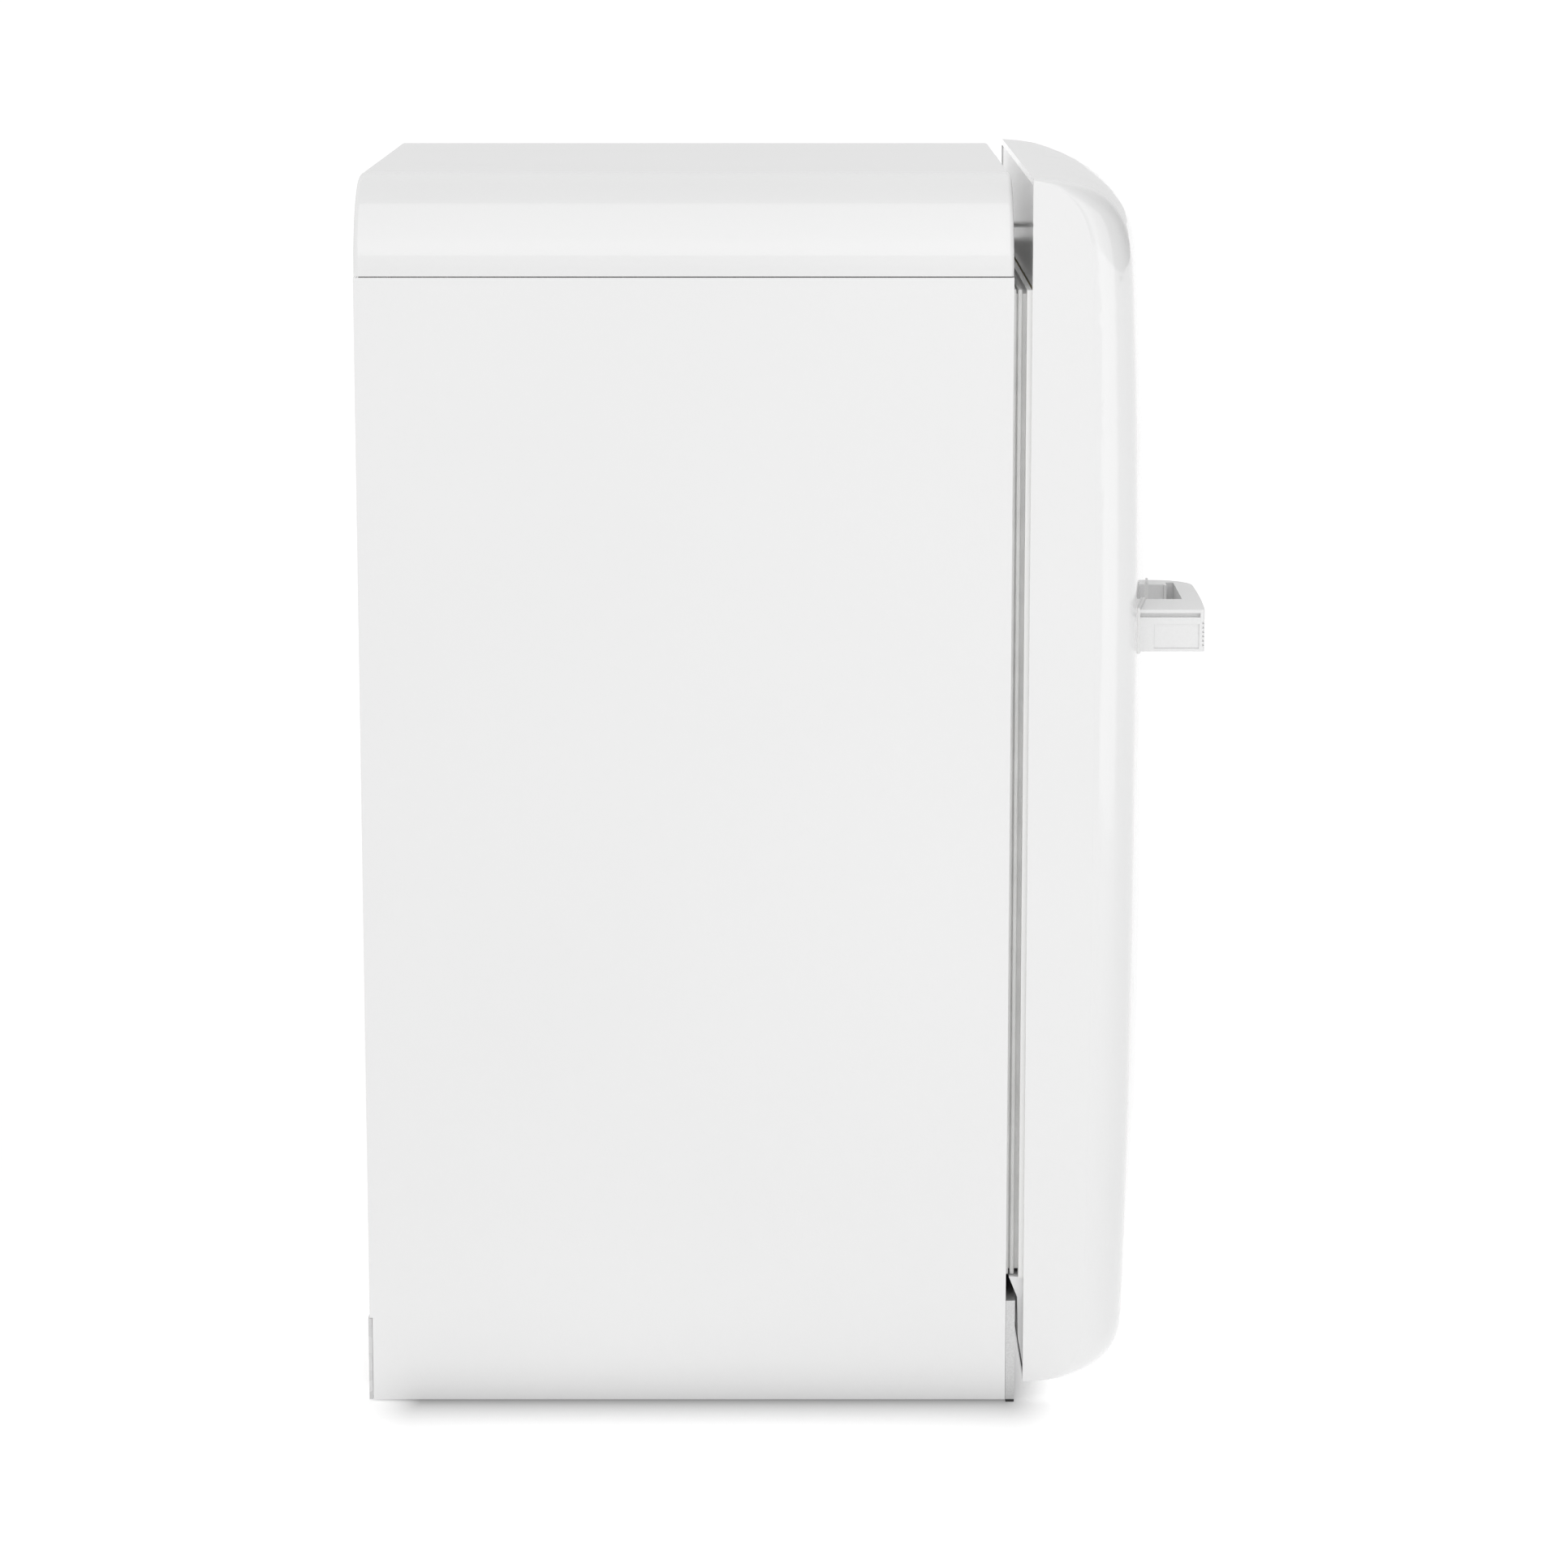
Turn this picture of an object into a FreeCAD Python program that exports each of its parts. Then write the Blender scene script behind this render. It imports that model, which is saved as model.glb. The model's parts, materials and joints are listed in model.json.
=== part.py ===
"""Retro compact refrigerator, modelled as an assembly of separate pieces.

Millimetres. X runs left to right seen from the front, -Y is the front, +Z is up.
The origin is on the floor, at the middle of the overall footprint.
Each function below makes one sub-part or one family of sub-parts, and export() writes it.
"""

import FreeCAD, Part
import math
import os

V = FreeCAD.Vector

# ---- driving dimensions -------------------------------------------------------------------
CABINET_WIDTH = 543.0
OVERALL_HEIGHT = 970.0
OVERALL_FRONT_Y = -330.0
OVERALL_REAR_Y = 330.0
CABINET_FRONT_Y = -175.8
CABINET_REAR_Y = 329.0
CABINET_BOTTOM_Z = 2.5
SEAM_Z = 895.0
SEAM_GAP = 0.8
SHEET = 1.0
TOP_SHOULDER_R = 75.0
TOP_WALL = 3.0
TOP_EDGE_R = 4.0

OPENING_HALF_X = 229.0
OPENING_LOW_Z = 112.0
OPENING_HIGH_Z = 868.0
LINER_WALL = 2.0
LINER_REAR_Y = 255.0
LINER_STEP_Y = 95.0
LINER_STEP_Z = 255.0
LINER_CORNER_R = 20.0
REAR_PANEL_Y = 300.0
RAIL_LOW_Z = 84.0
COMPARTMENT_Y = 126.0
COMPARTMENT_Z = 213.0

DOOR_REAR_Y = -189.8
DOOR_FRONT_Y = -296.0
DOOR_LOW_Z = 17.5
DOOR_CROWN_Z = 557.0
DOOR_SIDE_CROWN_R = 1400.0
DOOR_SIDE_R = 36.0
DOOR_UPPER_CROWN_R = 4950.0
DOOR_LOWER_CROWN_R = 11700.0
DOOR_TOP_HEIGHT = 88.0
DOOR_TOP_DEPTH = 93.0
DOOR_TOP_POWER = 3.0
DOOR_BOTTOM_HEIGHT = 50.0
DOOR_BOTTOM_DEPTH = 62.0
DOOR_BOTTOM_POWER = 2.4
DOOR_BLEND_POWER = 1.4
END_SHARE = 0.999
DOOR_SKIN = 1.0
DOOR_HEM = 4.0
CORE_LOW_Z = 101.3
CORE_HIGH_Z = 885.0
PANEL_REAR_Y = -185.9
PANEL_HALF_X = 267.0
PLUG_HALF_X = 220.0
PLUG_LOW_Z = 116.0
PLUG_HIGH_Z = 864.0
PLUG_REAR_Y = -165.0
DYKE_INNER_X = 188.0
DYKE_OUTER_X = 205.0
DYKE_REAR_Y = -95.0
DYKE_LOW_Z = 122.0
DYKE_HIGH_Z = 840.0

HINGE_X = 252.0
HINGE_Y = -224.8
HINGE_PIN_R = 4.0
HINGE_CLEARANCE = 0.06
HINGE_ARM_R = 12.0
BUSH_R = 7.0
UPPER_ARM_Z = 895.0
UPPER_ARM_T = 3.0
LOWER_ARM_Z = 86.0
LOWER_ARM_T = 3.5
POCKET_GAP = 2.5

HANDLE_NEAR_X = -236.0
HANDLE_FAR_X = -79.0
HANDLE_LOW_Z = 600.0
HANDLE_HIGH_Z = 633.0

SHELF_LEVELS_Z = (600.0, 430.0)
LEDGE_LEVELS_Z = (340.0, 430.0, 515.0, 600.0, 685.0)
SHELF_FRONT_Y = -82.0

HALF_X = CABINET_WIDTH / 2


# ---- small helpers ------------------------------------------------------------------------
def box(x0, x1, y0, y1, z0, z1):
    """A block between two corners."""
    return Part.makeBox(x1 - x0, y1 - y0, z1 - z0, V(x0, y0, z0))


def wide_box(half_x, y0, y1, z0, z1):
    """A block centred on X = 0."""
    return box(-half_x, half_x, y0, y1, z0, z1)


def rod(x, y, z, direction, radius, length):
    """A cylinder that starts at a point and runs along X, Y or Z."""
    return Part.makeCylinder(radius, length, V(x, y, z), direction)


X_AXIS = V(1, 0, 0)
Y_AXIS = V(0, 1, 0)
Z_AXIS = V(0, 0, 1)


def fuse(shapes):
    """One clean solid from several touching shapes."""
    first = shapes[0]
    return first.multiFuse(shapes[1:]).removeSplitter() if len(shapes) > 1 else first


def prism(points, axis_vector):
    """A closed polygon pushed along a vector."""
    wire = Part.makePolygon(points + [points[0]])
    return Part.Face(wire).extrude(axis_vector)


def mirror_x(shape):
    """The same shape on the other side of X = 0."""
    return shape.mirror(V(0, 0, 0), X_AXIS)


def edges_along(shape, direction, test):
    """The straight edges along a direction whose middle point passes a test."""
    found = []
    for edge in shape.Edges:
        if len(edge.Vertexes) != 2:
            continue
        run = edge.Vertexes[1].Point - edge.Vertexes[0].Point
        if run.Length < 1e-6 or abs(run.normalize().dot(direction)) < 0.999:
            continue
        if test(edge.CenterOfMass):
            found.append(edge)
    return found


def bent_tube(points, radius, bend_radius):
    """A round bar or tube's outer shape along straight runs joined by tangent arcs."""
    edges = []
    start = points[0]
    for before, corner, after in zip(points, points[1:], points[2:]):
        into = (corner - before).normalize()
        out = (after - corner).normalize()
        half_turn = into.getAngle(out) / 2
        setback = bend_radius * math.tan(half_turn)
        enter = corner - into * setback
        leave = corner + out * setback
        to_centre = (out - into).normalize()
        centre = corner + to_centre * (bend_radius / math.cos(half_turn))
        middle = centre - to_centre * bend_radius
        if (enter - start).Length > 1e-4:
            edges.append(Part.LineSegment(start, enter).toShape())
        edges.append(Part.Arc(enter, middle, leave).toShape())
        start = leave
    if (points[-1] - start).Length > 1e-4:
        edges.append(Part.LineSegment(start, points[-1]).toShape())
    path = Part.Wire(edges)
    direction = (points[1] - points[0]).normalize()
    section = Part.Wire([Part.Circle(points[0], direction, radius).toShape()])
    return path.makePipeShell([section], True, False)


def export(name, *solids):
    """Write one node, which holds one or more separate solids."""
    shape = solids[0] if len(solids) == 1 else Part.makeCompound(list(solids))
    if not shape.isValid():
        print("INVALID", name)
    shape.exportStep(os.path.join("parts", name + ".step"))
    print(f"{name:28s} solids {len(shape.Solids):3d}  volume {shape.Volume / 1000:10.2f} cm3")


# ---- cabinet skins ------------------------------------------------------------------------
FLANGE_INNER_X = OPENING_HALF_X + LINER_WALL + 0.3
REAR_RETURN_X = 246.0
REAR_CORNER_HIGH_Z = 69.5
REAR_CORNER_Y = 326.7


def side_panel():
    """Right side: one folded sheet with a front return, a rear return and a short top one."""
    outer = HALF_X
    skin = box(outer - SHEET, outer, CABINET_FRONT_Y, CABINET_REAR_Y, CABINET_BOTTOM_Z, SEAM_Z)
    front = box(FLANGE_INNER_X, outer, CABINET_FRONT_Y, CABINET_FRONT_Y + SHEET,
                CABINET_BOTTOM_Z, SEAM_Z)
    rear = box(REAR_RETURN_X, outer, CABINET_REAR_Y - SHEET, CABINET_REAR_Y,
               REAR_CORNER_HIGH_Z + 0.3, SEAM_Z)
    hem = box(outer - 3 * SHEET, outer, CABINET_FRONT_Y, REAR_CORNER_Y, CABINET_BOTTOM_Z,
              CABINET_BOTTOM_Z + 2.5)
    top = box(outer - 16, outer, REAR_PANEL_Y + SHEET + 0.2, CABINET_REAR_Y, SEAM_Z - SHEET,
              SEAM_Z)
    panel = fuse([skin, front, rear, hem, top])
    corner_notch = box(0, outer + 1, REAR_CORNER_Y, CABINET_REAR_Y + 1, 0,
                       REAR_CORNER_HIGH_Z + 0.3)
    return panel.cut(corner_notch)


def shoulder_block(inset):
    """The top cover's round-shouldered block, pulled in on every side by an inset."""
    half = HALF_X - inset
    top = OVERALL_HEIGHT - inset
    radius = TOP_SHOULDER_R - inset
    front = CABINET_FRONT_Y + inset
    depth = CABINET_REAR_Y - CABINET_FRONT_Y - 2 * inset
    block = wide_box(half, front, front + depth, SEAM_Z - 10, top)
    shoulders = edges_along(block, Y_AXIS, lambda p: p.z > top - 1)
    return block.makeFillet(radius, shoulders)


def top_cover():
    """A moulded cover with round shoulders, closed at the front and rear and open below."""
    low = SEAM_Z + SEAM_GAP
    outer = shoulder_block(0.0)
    end_edges = [edge for edge in outer.Edges
                 if edge.BoundBox.YLength < 1e-6 and edge.BoundBox.ZMax > SEAM_Z]
    outer = outer.makeFillet(TOP_EDGE_R, end_edges)
    cover = outer.cut(shoulder_block(TOP_WALL))
    cover = cover.cut(wide_box(HALF_X + 1, -400, 400, 0, low))
    slot_half = HINGE_ARM_R + 1.5
    hinge_slot = box(HINGE_X - slot_half, HINGE_X + slot_half, CABINET_FRONT_Y - 1,
                     CABINET_FRONT_Y + TOP_WALL + 1, low - 1, UPPER_ARM_Z + UPPER_ARM_T + 1)
    cover = cover.cut(hinge_slot)
    ribs = [box(x - 1, x + 1, CABINET_FRONT_Y + TOP_WALL, CABINET_REAR_Y - TOP_WALL,
                OVERALL_HEIGHT - TOP_WALL - 14, OVERALL_HEIGHT - TOP_WALL)
            for x in (-130, 0, 130)]
    return fuse([cover] + ribs)


def front_rails():
    """The cross rails above and below the door opening, which the gasket also holds to."""
    rails = []
    high_low = OPENING_HIGH_Z + LINER_WALL + 0.3
    low_high = OPENING_LOW_Z - LINER_WALL - 0.3
    for z0, z1 in ((high_low, SEAM_Z - SHEET), (RAIL_LOW_Z, low_high)):
        face = wide_box(FLANGE_INNER_X - 0.2, CABINET_FRONT_Y, CABINET_FRONT_Y + SHEET, z0, z1)
        lip_z = z1 - SHEET if z0 > OPENING_HIGH_Z else z0
        lip = wide_box(FLANGE_INNER_X - 0.2, CABINET_FRONT_Y, CABINET_FRONT_Y + 14,
                       lip_z, lip_z + SHEET)
        rails.append(fuse([face, lip]))
    return rails


def top_deck():
    """The flat sheet that closes the insulated box under the top cover."""
    return wide_box(HALF_X - SHEET - 0.1, CABINET_FRONT_Y + SHEET + 0.1, REAR_PANEL_Y + SHEET,
                    SEAM_Z - SHEET, SEAM_Z)


def rear_panel():
    """The flat back, with pressed stiffening ribs and holes for two of the lines."""
    half = REAR_RETURN_X - 0.5
    panel = wide_box(half, REAR_PANEL_Y, REAR_PANEL_Y + SHEET, COMPARTMENT_Z + SHEET,
                     SEAM_Z - SHEET - 0.2)
    ribs = [wide_box(half - 60, REAR_PANEL_Y + SHEET, REAR_PANEL_Y + SHEET + 1.5, z, z + 6)
            for z in (260, 850)]
    return fuse([panel] + ribs).cut(line_holes())


def bulkhead():
    """The folded sheet that parts the insulated box from the machine compartment."""
    half = HALF_X - SHEET - 0.2
    wall = wide_box(half, COMPARTMENT_Y, COMPARTMENT_Y + SHEET, RAIL_LOW_Z - SHEET,
                    COMPARTMENT_Z + SHEET)
    roof = wide_box(half, COMPARTMENT_Y, REAR_PANEL_Y + SHEET, COMPARTMENT_Z,
                    COMPARTMENT_Z + SHEET)
    hole = rod(0, DRAIN_Y, COMPARTMENT_Z - 5, Z_AXIS, DRAIN_R + 0.5, 20)
    return fuse([wall, roof]).cut(hole)


def bottom_panel():
    """The sheet below the insulated box, in front of the machine compartment."""
    return wide_box(HALF_X - SHEET - 0.2, CABINET_FRONT_Y + SHEET + 0.2, COMPARTMENT_Y - 0.2,
                    RAIL_LOW_Z - SHEET, RAIL_LOW_Z)


# ---- base, feet and plinth ----------------------------------------------------------------
FOOT_PLACES = {
    "front_left": (-244.0, -146.0),
    "front_right": (244.0, -146.0),
    "rear_left": (-244.0, 296.0),
    "rear_right": (244.0, 296.0),
}
FOOT_PAD_R = 17.0
FOOT_STEM_R = 5.0
FOOT_CLEARANCE = 0.06
BASE_FLANGE_Z = 10.0
BASE_SHEET = 2.0


def base_frame():
    """A welded frame of two angle rails and cross members, with a threaded boss per foot."""
    outer = HALF_X - SHEET - 0.2
    pieces = []
    for side in (-1, 1):
        x_wall = sorted((side * outer, side * (outer - BASE_SHEET)))
        x_flange = sorted((side * outer, side * (outer - 46)))
        pieces.append(box(*x_wall, -170, 325, BASE_FLANGE_Z, 60))
        pieces.append(box(*x_flange, -170, 325, BASE_FLANGE_Z, BASE_FLANGE_Z + BASE_SHEET))
    for y0, y1 in ((-170, -125), (118, 124), (283, 325)):
        pieces.append(wide_box(outer, y0, y1, BASE_FLANGE_Z, BASE_FLANGE_Z + BASE_SHEET))
    pieces.append(wide_box(outer, 122, 124, BASE_FLANGE_Z, 60))
    for x, y in FOOT_PLACES.values():
        pieces.append(rod(x, y, BASE_FLANGE_Z, Z_AXIS, FOOT_STEM_R + 5, 14))
    for side in (-1, 1):
        x0, x1 = sorted((side * HALF_X, side * 228.0))
        pieces.append(box(x0, x1, REAR_CORNER_Y + 0.3, OVERALL_REAR_Y, CABINET_BOTTOM_Z,
                          REAR_CORNER_HIGH_Z))
        x0, x1 = sorted((side * (outer - 0.5), side * 228.0))
        pieces.append(box(x0, x1, 318, REAR_CORNER_Y + 0.3, BASE_FLANGE_Z, 60))
    frame = fuse(pieces)
    for x, y in FOOT_PLACES.values():
        frame = frame.cut(rod(x, y, 0, Z_AXIS, FOOT_STEM_R + FOOT_CLEARANCE, 60))
    return frame


def levelling_foot(x, y):
    """A round pad with a hexagon for the spanner and a threaded stem."""
    pad = Part.makeCone(FOOT_PAD_R, FOOT_PAD_R - 2, 5, V(x, y, 0))
    points = [V(x + 8 * math.cos(math.radians(60 * k)), y + 8 * math.sin(math.radians(60 * k)), 5)
              for k in range(6)]
    nut = prism(points, V(0, 0, 4.4))
    stem = rod(x, y, 5, Z_AXIS, FOOT_STEM_R, 34)
    return fuse([pad, nut, stem])


PLINTH_FRONT_Y = -183.2
PLINTH_LOW_Z = 2.6
PLINTH_HIGH_Z = 84.0
PLINTH_WALL = 2.0


def plinth():
    """A clip-on kick plate: a shallow tray that is open towards the cabinet."""
    rear = CABINET_FRONT_Y - 0.2
    outer = wide_box(HALF_X, PLINTH_FRONT_Y, rear, PLINTH_LOW_Z, PLINTH_HIGH_Z)
    inner = wide_box(HALF_X - PLINTH_WALL, PLINTH_FRONT_Y + PLINTH_WALL, rear + 1,
                     PLINTH_LOW_Z + PLINTH_WALL, PLINTH_HIGH_Z - PLINTH_WALL)
    shell = outer.cut(inner)
    arm_gap = box(LOWER_LEG_X0 - 1, LOWER_LEG_X1 + 1, LOWER_LEG_FRONT_Y - 0.6, rear + 1,
                  PLINTH_HIGH_Z - PLINTH_WALL - 1, PLINTH_HIGH_Z + 1)
    return shell.cut(arm_gap)


def plinth_seal():
    """The black strip under the kick plate."""
    return wide_box(HALF_X - 0.3, PLINTH_FRONT_Y + 0.2, CABINET_FRONT_Y - 0.4, 0.4, PLINTH_LOW_Z)


# ---- liner, insulation and inside fittings ------------------------------------------------
def stepped_cavity(grow):
    """The inside of the compartment, or its outside when it is grown by the wall."""
    half = OPENING_HALF_X + grow
    low = OPENING_LOW_Z - grow
    high = OPENING_HIGH_Z + grow
    rear = LINER_REAR_Y + grow
    step_y = LINER_STEP_Y + grow
    step_z = LINER_STEP_Z - grow
    front = CABINET_FRONT_Y - 5.0
    outline = [V(-half, front, low), V(-half, step_y, low), V(-half, step_y, step_z),
               V(-half, rear, step_z), V(-half, rear, high), V(-half, front, high)]
    solid = prism(outline, V(2 * half, 0, 0))
    radius = LINER_CORNER_R + grow
    long_edges = edges_along(solid, Y_AXIS, lambda p: abs(abs(p.x) - half) < 0.01)
    long_edges = [e for e in long_edges if abs(e.CenterOfMass.z - step_z) > 1]
    return solid.makeFillet(radius, long_edges)


def inner_liner():
    """The white inner tub, with its front lip and the ledges that carry the shelves."""
    outside = stepped_cavity(LINER_WALL)
    trim = wide_box(400, CABINET_FRONT_Y, 400, 0, OVERALL_HEIGHT)
    lip = wide_box(OPENING_HALF_X + LINER_WALL, CABINET_FRONT_Y, CABINET_FRONT_Y + 1.5,
                   OPENING_LOW_Z - LINER_WALL, OPENING_HIGH_Z + LINER_WALL)
    cavity = stepped_cavity(0.0)
    tub = fuse([outside.common(trim), lip]).cut(cavity)
    ledges = []
    for z in LEDGE_LEVELS_Z:
        for side in (-1, 1):
            x0, x1 = sorted((side * (OPENING_HALF_X + 0.5), side * (OPENING_HALF_X - 8)))
            ledges.append(box(x0, x1, -70, 240, z - 4, z))
    for side in (-1, 1):
        x0, x1 = sorted((side * (OPENING_HALF_X + 0.5), side * (OPENING_HALF_X - 8)))
        ledges.append(box(x0, x1, -70, 240, CRISPER_COVER_Z - 4, CRISPER_COVER_Z))
    drain_hole = rod(0, LINER_REAR_Y - 5, DRAIN_ENTRY_Z, Y_AXIS, DRAIN_R + 0.2, 12)
    return fuse([tub] + ledges).cut(drain_hole)


def cabinet_foam():
    """Rigid foam between the skins and the liner."""
    half = HALF_X - SHEET - 0.1
    block = wide_box(half, CABINET_FRONT_Y + 15, REAR_PANEL_Y, RAIL_LOW_Z, SEAM_Z - SHEET)
    step = wide_box(half + 1, COMPARTMENT_Y, 400, 0, COMPARTMENT_Z + SHEET)
    foam = block.cut(step).cut(stepped_cavity(LINER_WALL))
    return foam.cut(drain_tube_outside(0.0)).cut(line_holes())


DRAIN_Y = 277.0
DRAIN_R = 7.0
DRAIN_ENTRY_Z = 462.0
DRAIN_LOW_Z = 205.0
DRAIN_BEND_R = 14.0


def drain_tube_outside(shrink):
    """The drain tube's round outside: back through the liner, then down to the tray."""
    points = [V(0, LINER_REAR_Y - 1, DRAIN_ENTRY_Z), V(0, DRAIN_Y, DRAIN_ENTRY_Z),
              V(0, DRAIN_Y, DRAIN_LOW_Z)]
    return bent_tube(points, DRAIN_R - shrink, DRAIN_BEND_R)


def drain_tube():
    """A thin tube that takes melt water from the channel to the tray on the compressor."""
    return drain_tube_outside(0.0).cut(drain_tube_outside(1.2))


def drip_channel():
    """The gutter under the cold plate."""
    outer = wide_box(150, LINER_REAR_Y - 22, LINER_REAR_Y - 0.2, 455, 474)
    inner = wide_box(148, LINER_REAR_Y - 20, LINER_REAR_Y - 2.2, 457, 475)
    hole = rod(0, LINER_REAR_Y - 5, DRAIN_ENTRY_Z, Y_AXIS, DRAIN_R + 0.2, 10)
    return outer.cut(inner).cut(hole)


def evaporator_plate():
    """The cold plate on the rear wall, with its raised refrigerant channel and four studs."""
    front = LINER_REAR_Y - 9.0
    plate = wide_box(160, front, front + 2, 490, 800)
    rows = 7
    pitch = 40.0
    start_z = 525.0
    points = []
    for row in range(rows):
        z = start_z + row * pitch
        ends = (-135, 135) if row % 2 == 0 else (135, -135)
        points += [V(ends[0], front, z), V(ends[1], front, z)]
    channel = bent_tube(points, 4.0, pitch / 2 - 0.5)
    studs = [rod(x, front + 2, z, Y_AXIS, 5, 7) for x in (-145, 145) for z in (505, 785)]
    return fuse([plate, channel] + studs)


def shelf_glass(z):
    """One glass shelf."""
    return wide_box(224, SHELF_FRONT_Y + 4, 236, z, z + 4)


def shelf_trims(z):
    """The moulded strips on a shelf's front and rear edges."""
    front = wide_box(225, SHELF_FRONT_Y, SHELF_FRONT_Y + 14, z - 0.0, z + 9)
    front = front.cut(wide_box(224, SHELF_FRONT_Y + 4, SHELF_FRONT_Y + 20, z, z + 4))
    front = front.cut(wide_box(226, SHELF_FRONT_Y + 9, SHELF_FRONT_Y + 20, z + 6, z + 12))
    rear = wide_box(225, 228, 240, z, z + 12)
    rear = rear.cut(wide_box(224, 220, 236, z, z + 4))
    return front, rear


CRISPER_COVER_Z = 260.0
CRISPER_HALF_X = 188.0
CRISPER_FRONT_Y = -82.0
CRISPER_REAR_Y = 86.0
CRISPER_LOW_Z = 113.2
CRISPER_HIGH_Z = 250.0
CRISPER_WALL = 2.5


def crisper_drawer():
    """The clear vegetable drawer, with a turned-out grip along its front edge."""
    taper = 6.0
    y0, y1 = CRISPER_FRONT_Y, CRISPER_REAR_Y

    def tub(inset, z0, z1):
        low_half = CRISPER_HALF_X - taper - inset
        high_half = CRISPER_HALF_X - 4 - inset
        low = Part.makePolygon([V(-low_half, y0 + 6 + inset, z0), V(low_half, y0 + 6 + inset, z0),
                                V(low_half, y1 - 6 - inset, z0),
                                V(-low_half, y1 - 6 - inset, z0),
                                V(-low_half, y0 + 6 + inset, z0)])
        high = Part.makePolygon([V(-high_half, y0 + 3 + inset, z1), V(high_half, y0 + 3 + inset, z1),
                                 V(high_half, y1 - 2 - inset, z1),
                                 V(-high_half, y1 - 2 - inset, z1),
                                 V(-high_half, y0 + 3 + inset, z1)])
        return Part.makeLoft([low, high], True, True)

    body = tub(0.0, CRISPER_LOW_Z, CRISPER_HIGH_Z - 3)
    rim = box(-CRISPER_HALF_X, CRISPER_HALF_X, y0, y1, CRISPER_HIGH_Z - 6, CRISPER_HIGH_Z - 3)
    hollow = tub(CRISPER_WALL, CRISPER_LOW_Z + CRISPER_WALL, CRISPER_HIGH_Z + 1)
    grip = wide_box(90, y0, y0 + 2.5, CRISPER_HIGH_Z - 22, CRISPER_HIGH_Z - 5)
    return fuse([fuse([body, rim]).cut(hollow), grip])


HOUSING_HALF_X = 110.0
HOUSING_FRONT_Y = -60.0
HOUSING_REAR_Y = 60.0
HOUSING_LOW_Z = 835.0
DIAL_X = 68.0
DIAL_Z = 851.0
DIAL_R = 14.0


def control_housing():
    """The ceiling housing for the thermostat and lamp."""
    outer = wide_box(HOUSING_HALF_X, HOUSING_FRONT_Y, HOUSING_REAR_Y, HOUSING_LOW_Z,
                     OPENING_HIGH_Z - 0.2)
    edges = edges_along(outer, Z_AXIS, lambda p: True)
    outer = outer.makeFillet(12, edges)
    inner = wide_box(HOUSING_HALF_X - 2.5, HOUSING_FRONT_Y + 2.5, HOUSING_REAR_Y - 2.5,
                     HOUSING_LOW_Z + 2.5, OPENING_HIGH_Z + 1)
    inner = inner.makeFillet(9.5, edges_along(inner, Z_AXIS, lambda p: True))
    window = box(-70, 30, -38, 38, HOUSING_LOW_Z - 1, HOUSING_LOW_Z + 4)
    spindle = rod(DIAL_X, HOUSING_FRONT_Y - 5, DIAL_Z, Y_AXIS, 3.1, 10)
    return outer.cut(inner).cut(window).cut(spindle)


def lamp_lens():
    """The translucent cover of the inside lamp."""
    plate = box(-69.8, 29.8, -37.8, 37.8, HOUSING_LOW_Z, HOUSING_LOW_Z + 2.5)
    dome = box(-66, 26, -34, 34, HOUSING_LOW_Z - 3, HOUSING_LOW_Z)
    dome = dome.makeFillet(2.5, [e for e in dome.Edges if e.CenterOfMass.z < HOUSING_LOW_Z - 2.9])
    return fuse([plate, dome])


def lamp_board():
    """The light source behind the lens."""
    return box(-60, 20, -28, 28, HOUSING_LOW_Z + 8, HOUSING_LOW_Z + 10)


def thermostat_body():
    """The capillary thermostat that the dial turns."""
    spindle_low_y = HOUSING_FRONT_Y + 2.6
    return box(DIAL_X - 17, DIAL_X + 17, spindle_low_y + 8, spindle_low_y + 40,
               HOUSING_LOW_Z + 4, HOUSING_LOW_Z + 30)


def thermostat_dial():
    """A fluted knob with a pointer, on a short spindle."""
    front = HOUSING_FRONT_Y - 13.0
    knob = rod(DIAL_X, front, DIAL_Z, Y_AXIS, DIAL_R, 12.6)
    flutes = [rod(DIAL_X + (DIAL_R + 1) * math.cos(math.radians(30 * k)), front - 1,
                  DIAL_Z + (DIAL_R + 1) * math.sin(math.radians(30 * k)), Y_AXIS, 2.2, 9)
              for k in range(12)]
    for flute in flutes:
        knob = knob.cut(flute)
    pointer = box(DIAL_X - 1, DIAL_X + 1, front - 0.8, front + 1, DIAL_Z + 3, DIAL_Z + DIAL_R - 3)
    spindle = rod(DIAL_X, front + 5, DIAL_Z, Y_AXIS, 3.0, 18)
    return fuse([knob, pointer, spindle])


SWITCH_X = 200.0
SWITCH_Z = 857.0
SWITCH_FRONT_Y = -160.0
PLUNGER_R = 3.5
PLUNGER_TIP_Y = PLUG_REAR_Y + 0.5


def door_switch_body():
    """The lamp switch on the ceiling, just inside the opening."""
    body = box(SWITCH_X - 8, SWITCH_X + 8, SWITCH_FRONT_Y, SWITCH_FRONT_Y + 26, SWITCH_Z - 9,
               OPENING_HIGH_Z - 0.2)
    bore = rod(SWITCH_X, SWITCH_FRONT_Y - 1, SWITCH_Z, Y_AXIS, PLUNGER_R + 0.08, 21)
    return body.cut(bore)


def door_switch_plunger():
    """The white button that the door presses."""
    stem = rod(SWITCH_X, PLUNGER_TIP_Y, SWITCH_Z, Y_AXIS, PLUNGER_R, 18)
    return stem


# ---- machine compartment ------------------------------------------------------------------
COMPRESSOR_X = -60.0
COMPRESSOR_Y = 226.0
PLATE_Z = 12.0
PLATE_T = 2.0


def ellipse_block(centre_x, centre_y, half_x, half_y, z0, height):
    """An upright block with an elliptical plan."""
    curve = Part.Ellipse(V(centre_x, centre_y, z0), half_x, half_y)
    return Part.Face(Part.Wire([curve.toShape()])).extrude(V(0, 0, height))


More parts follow.
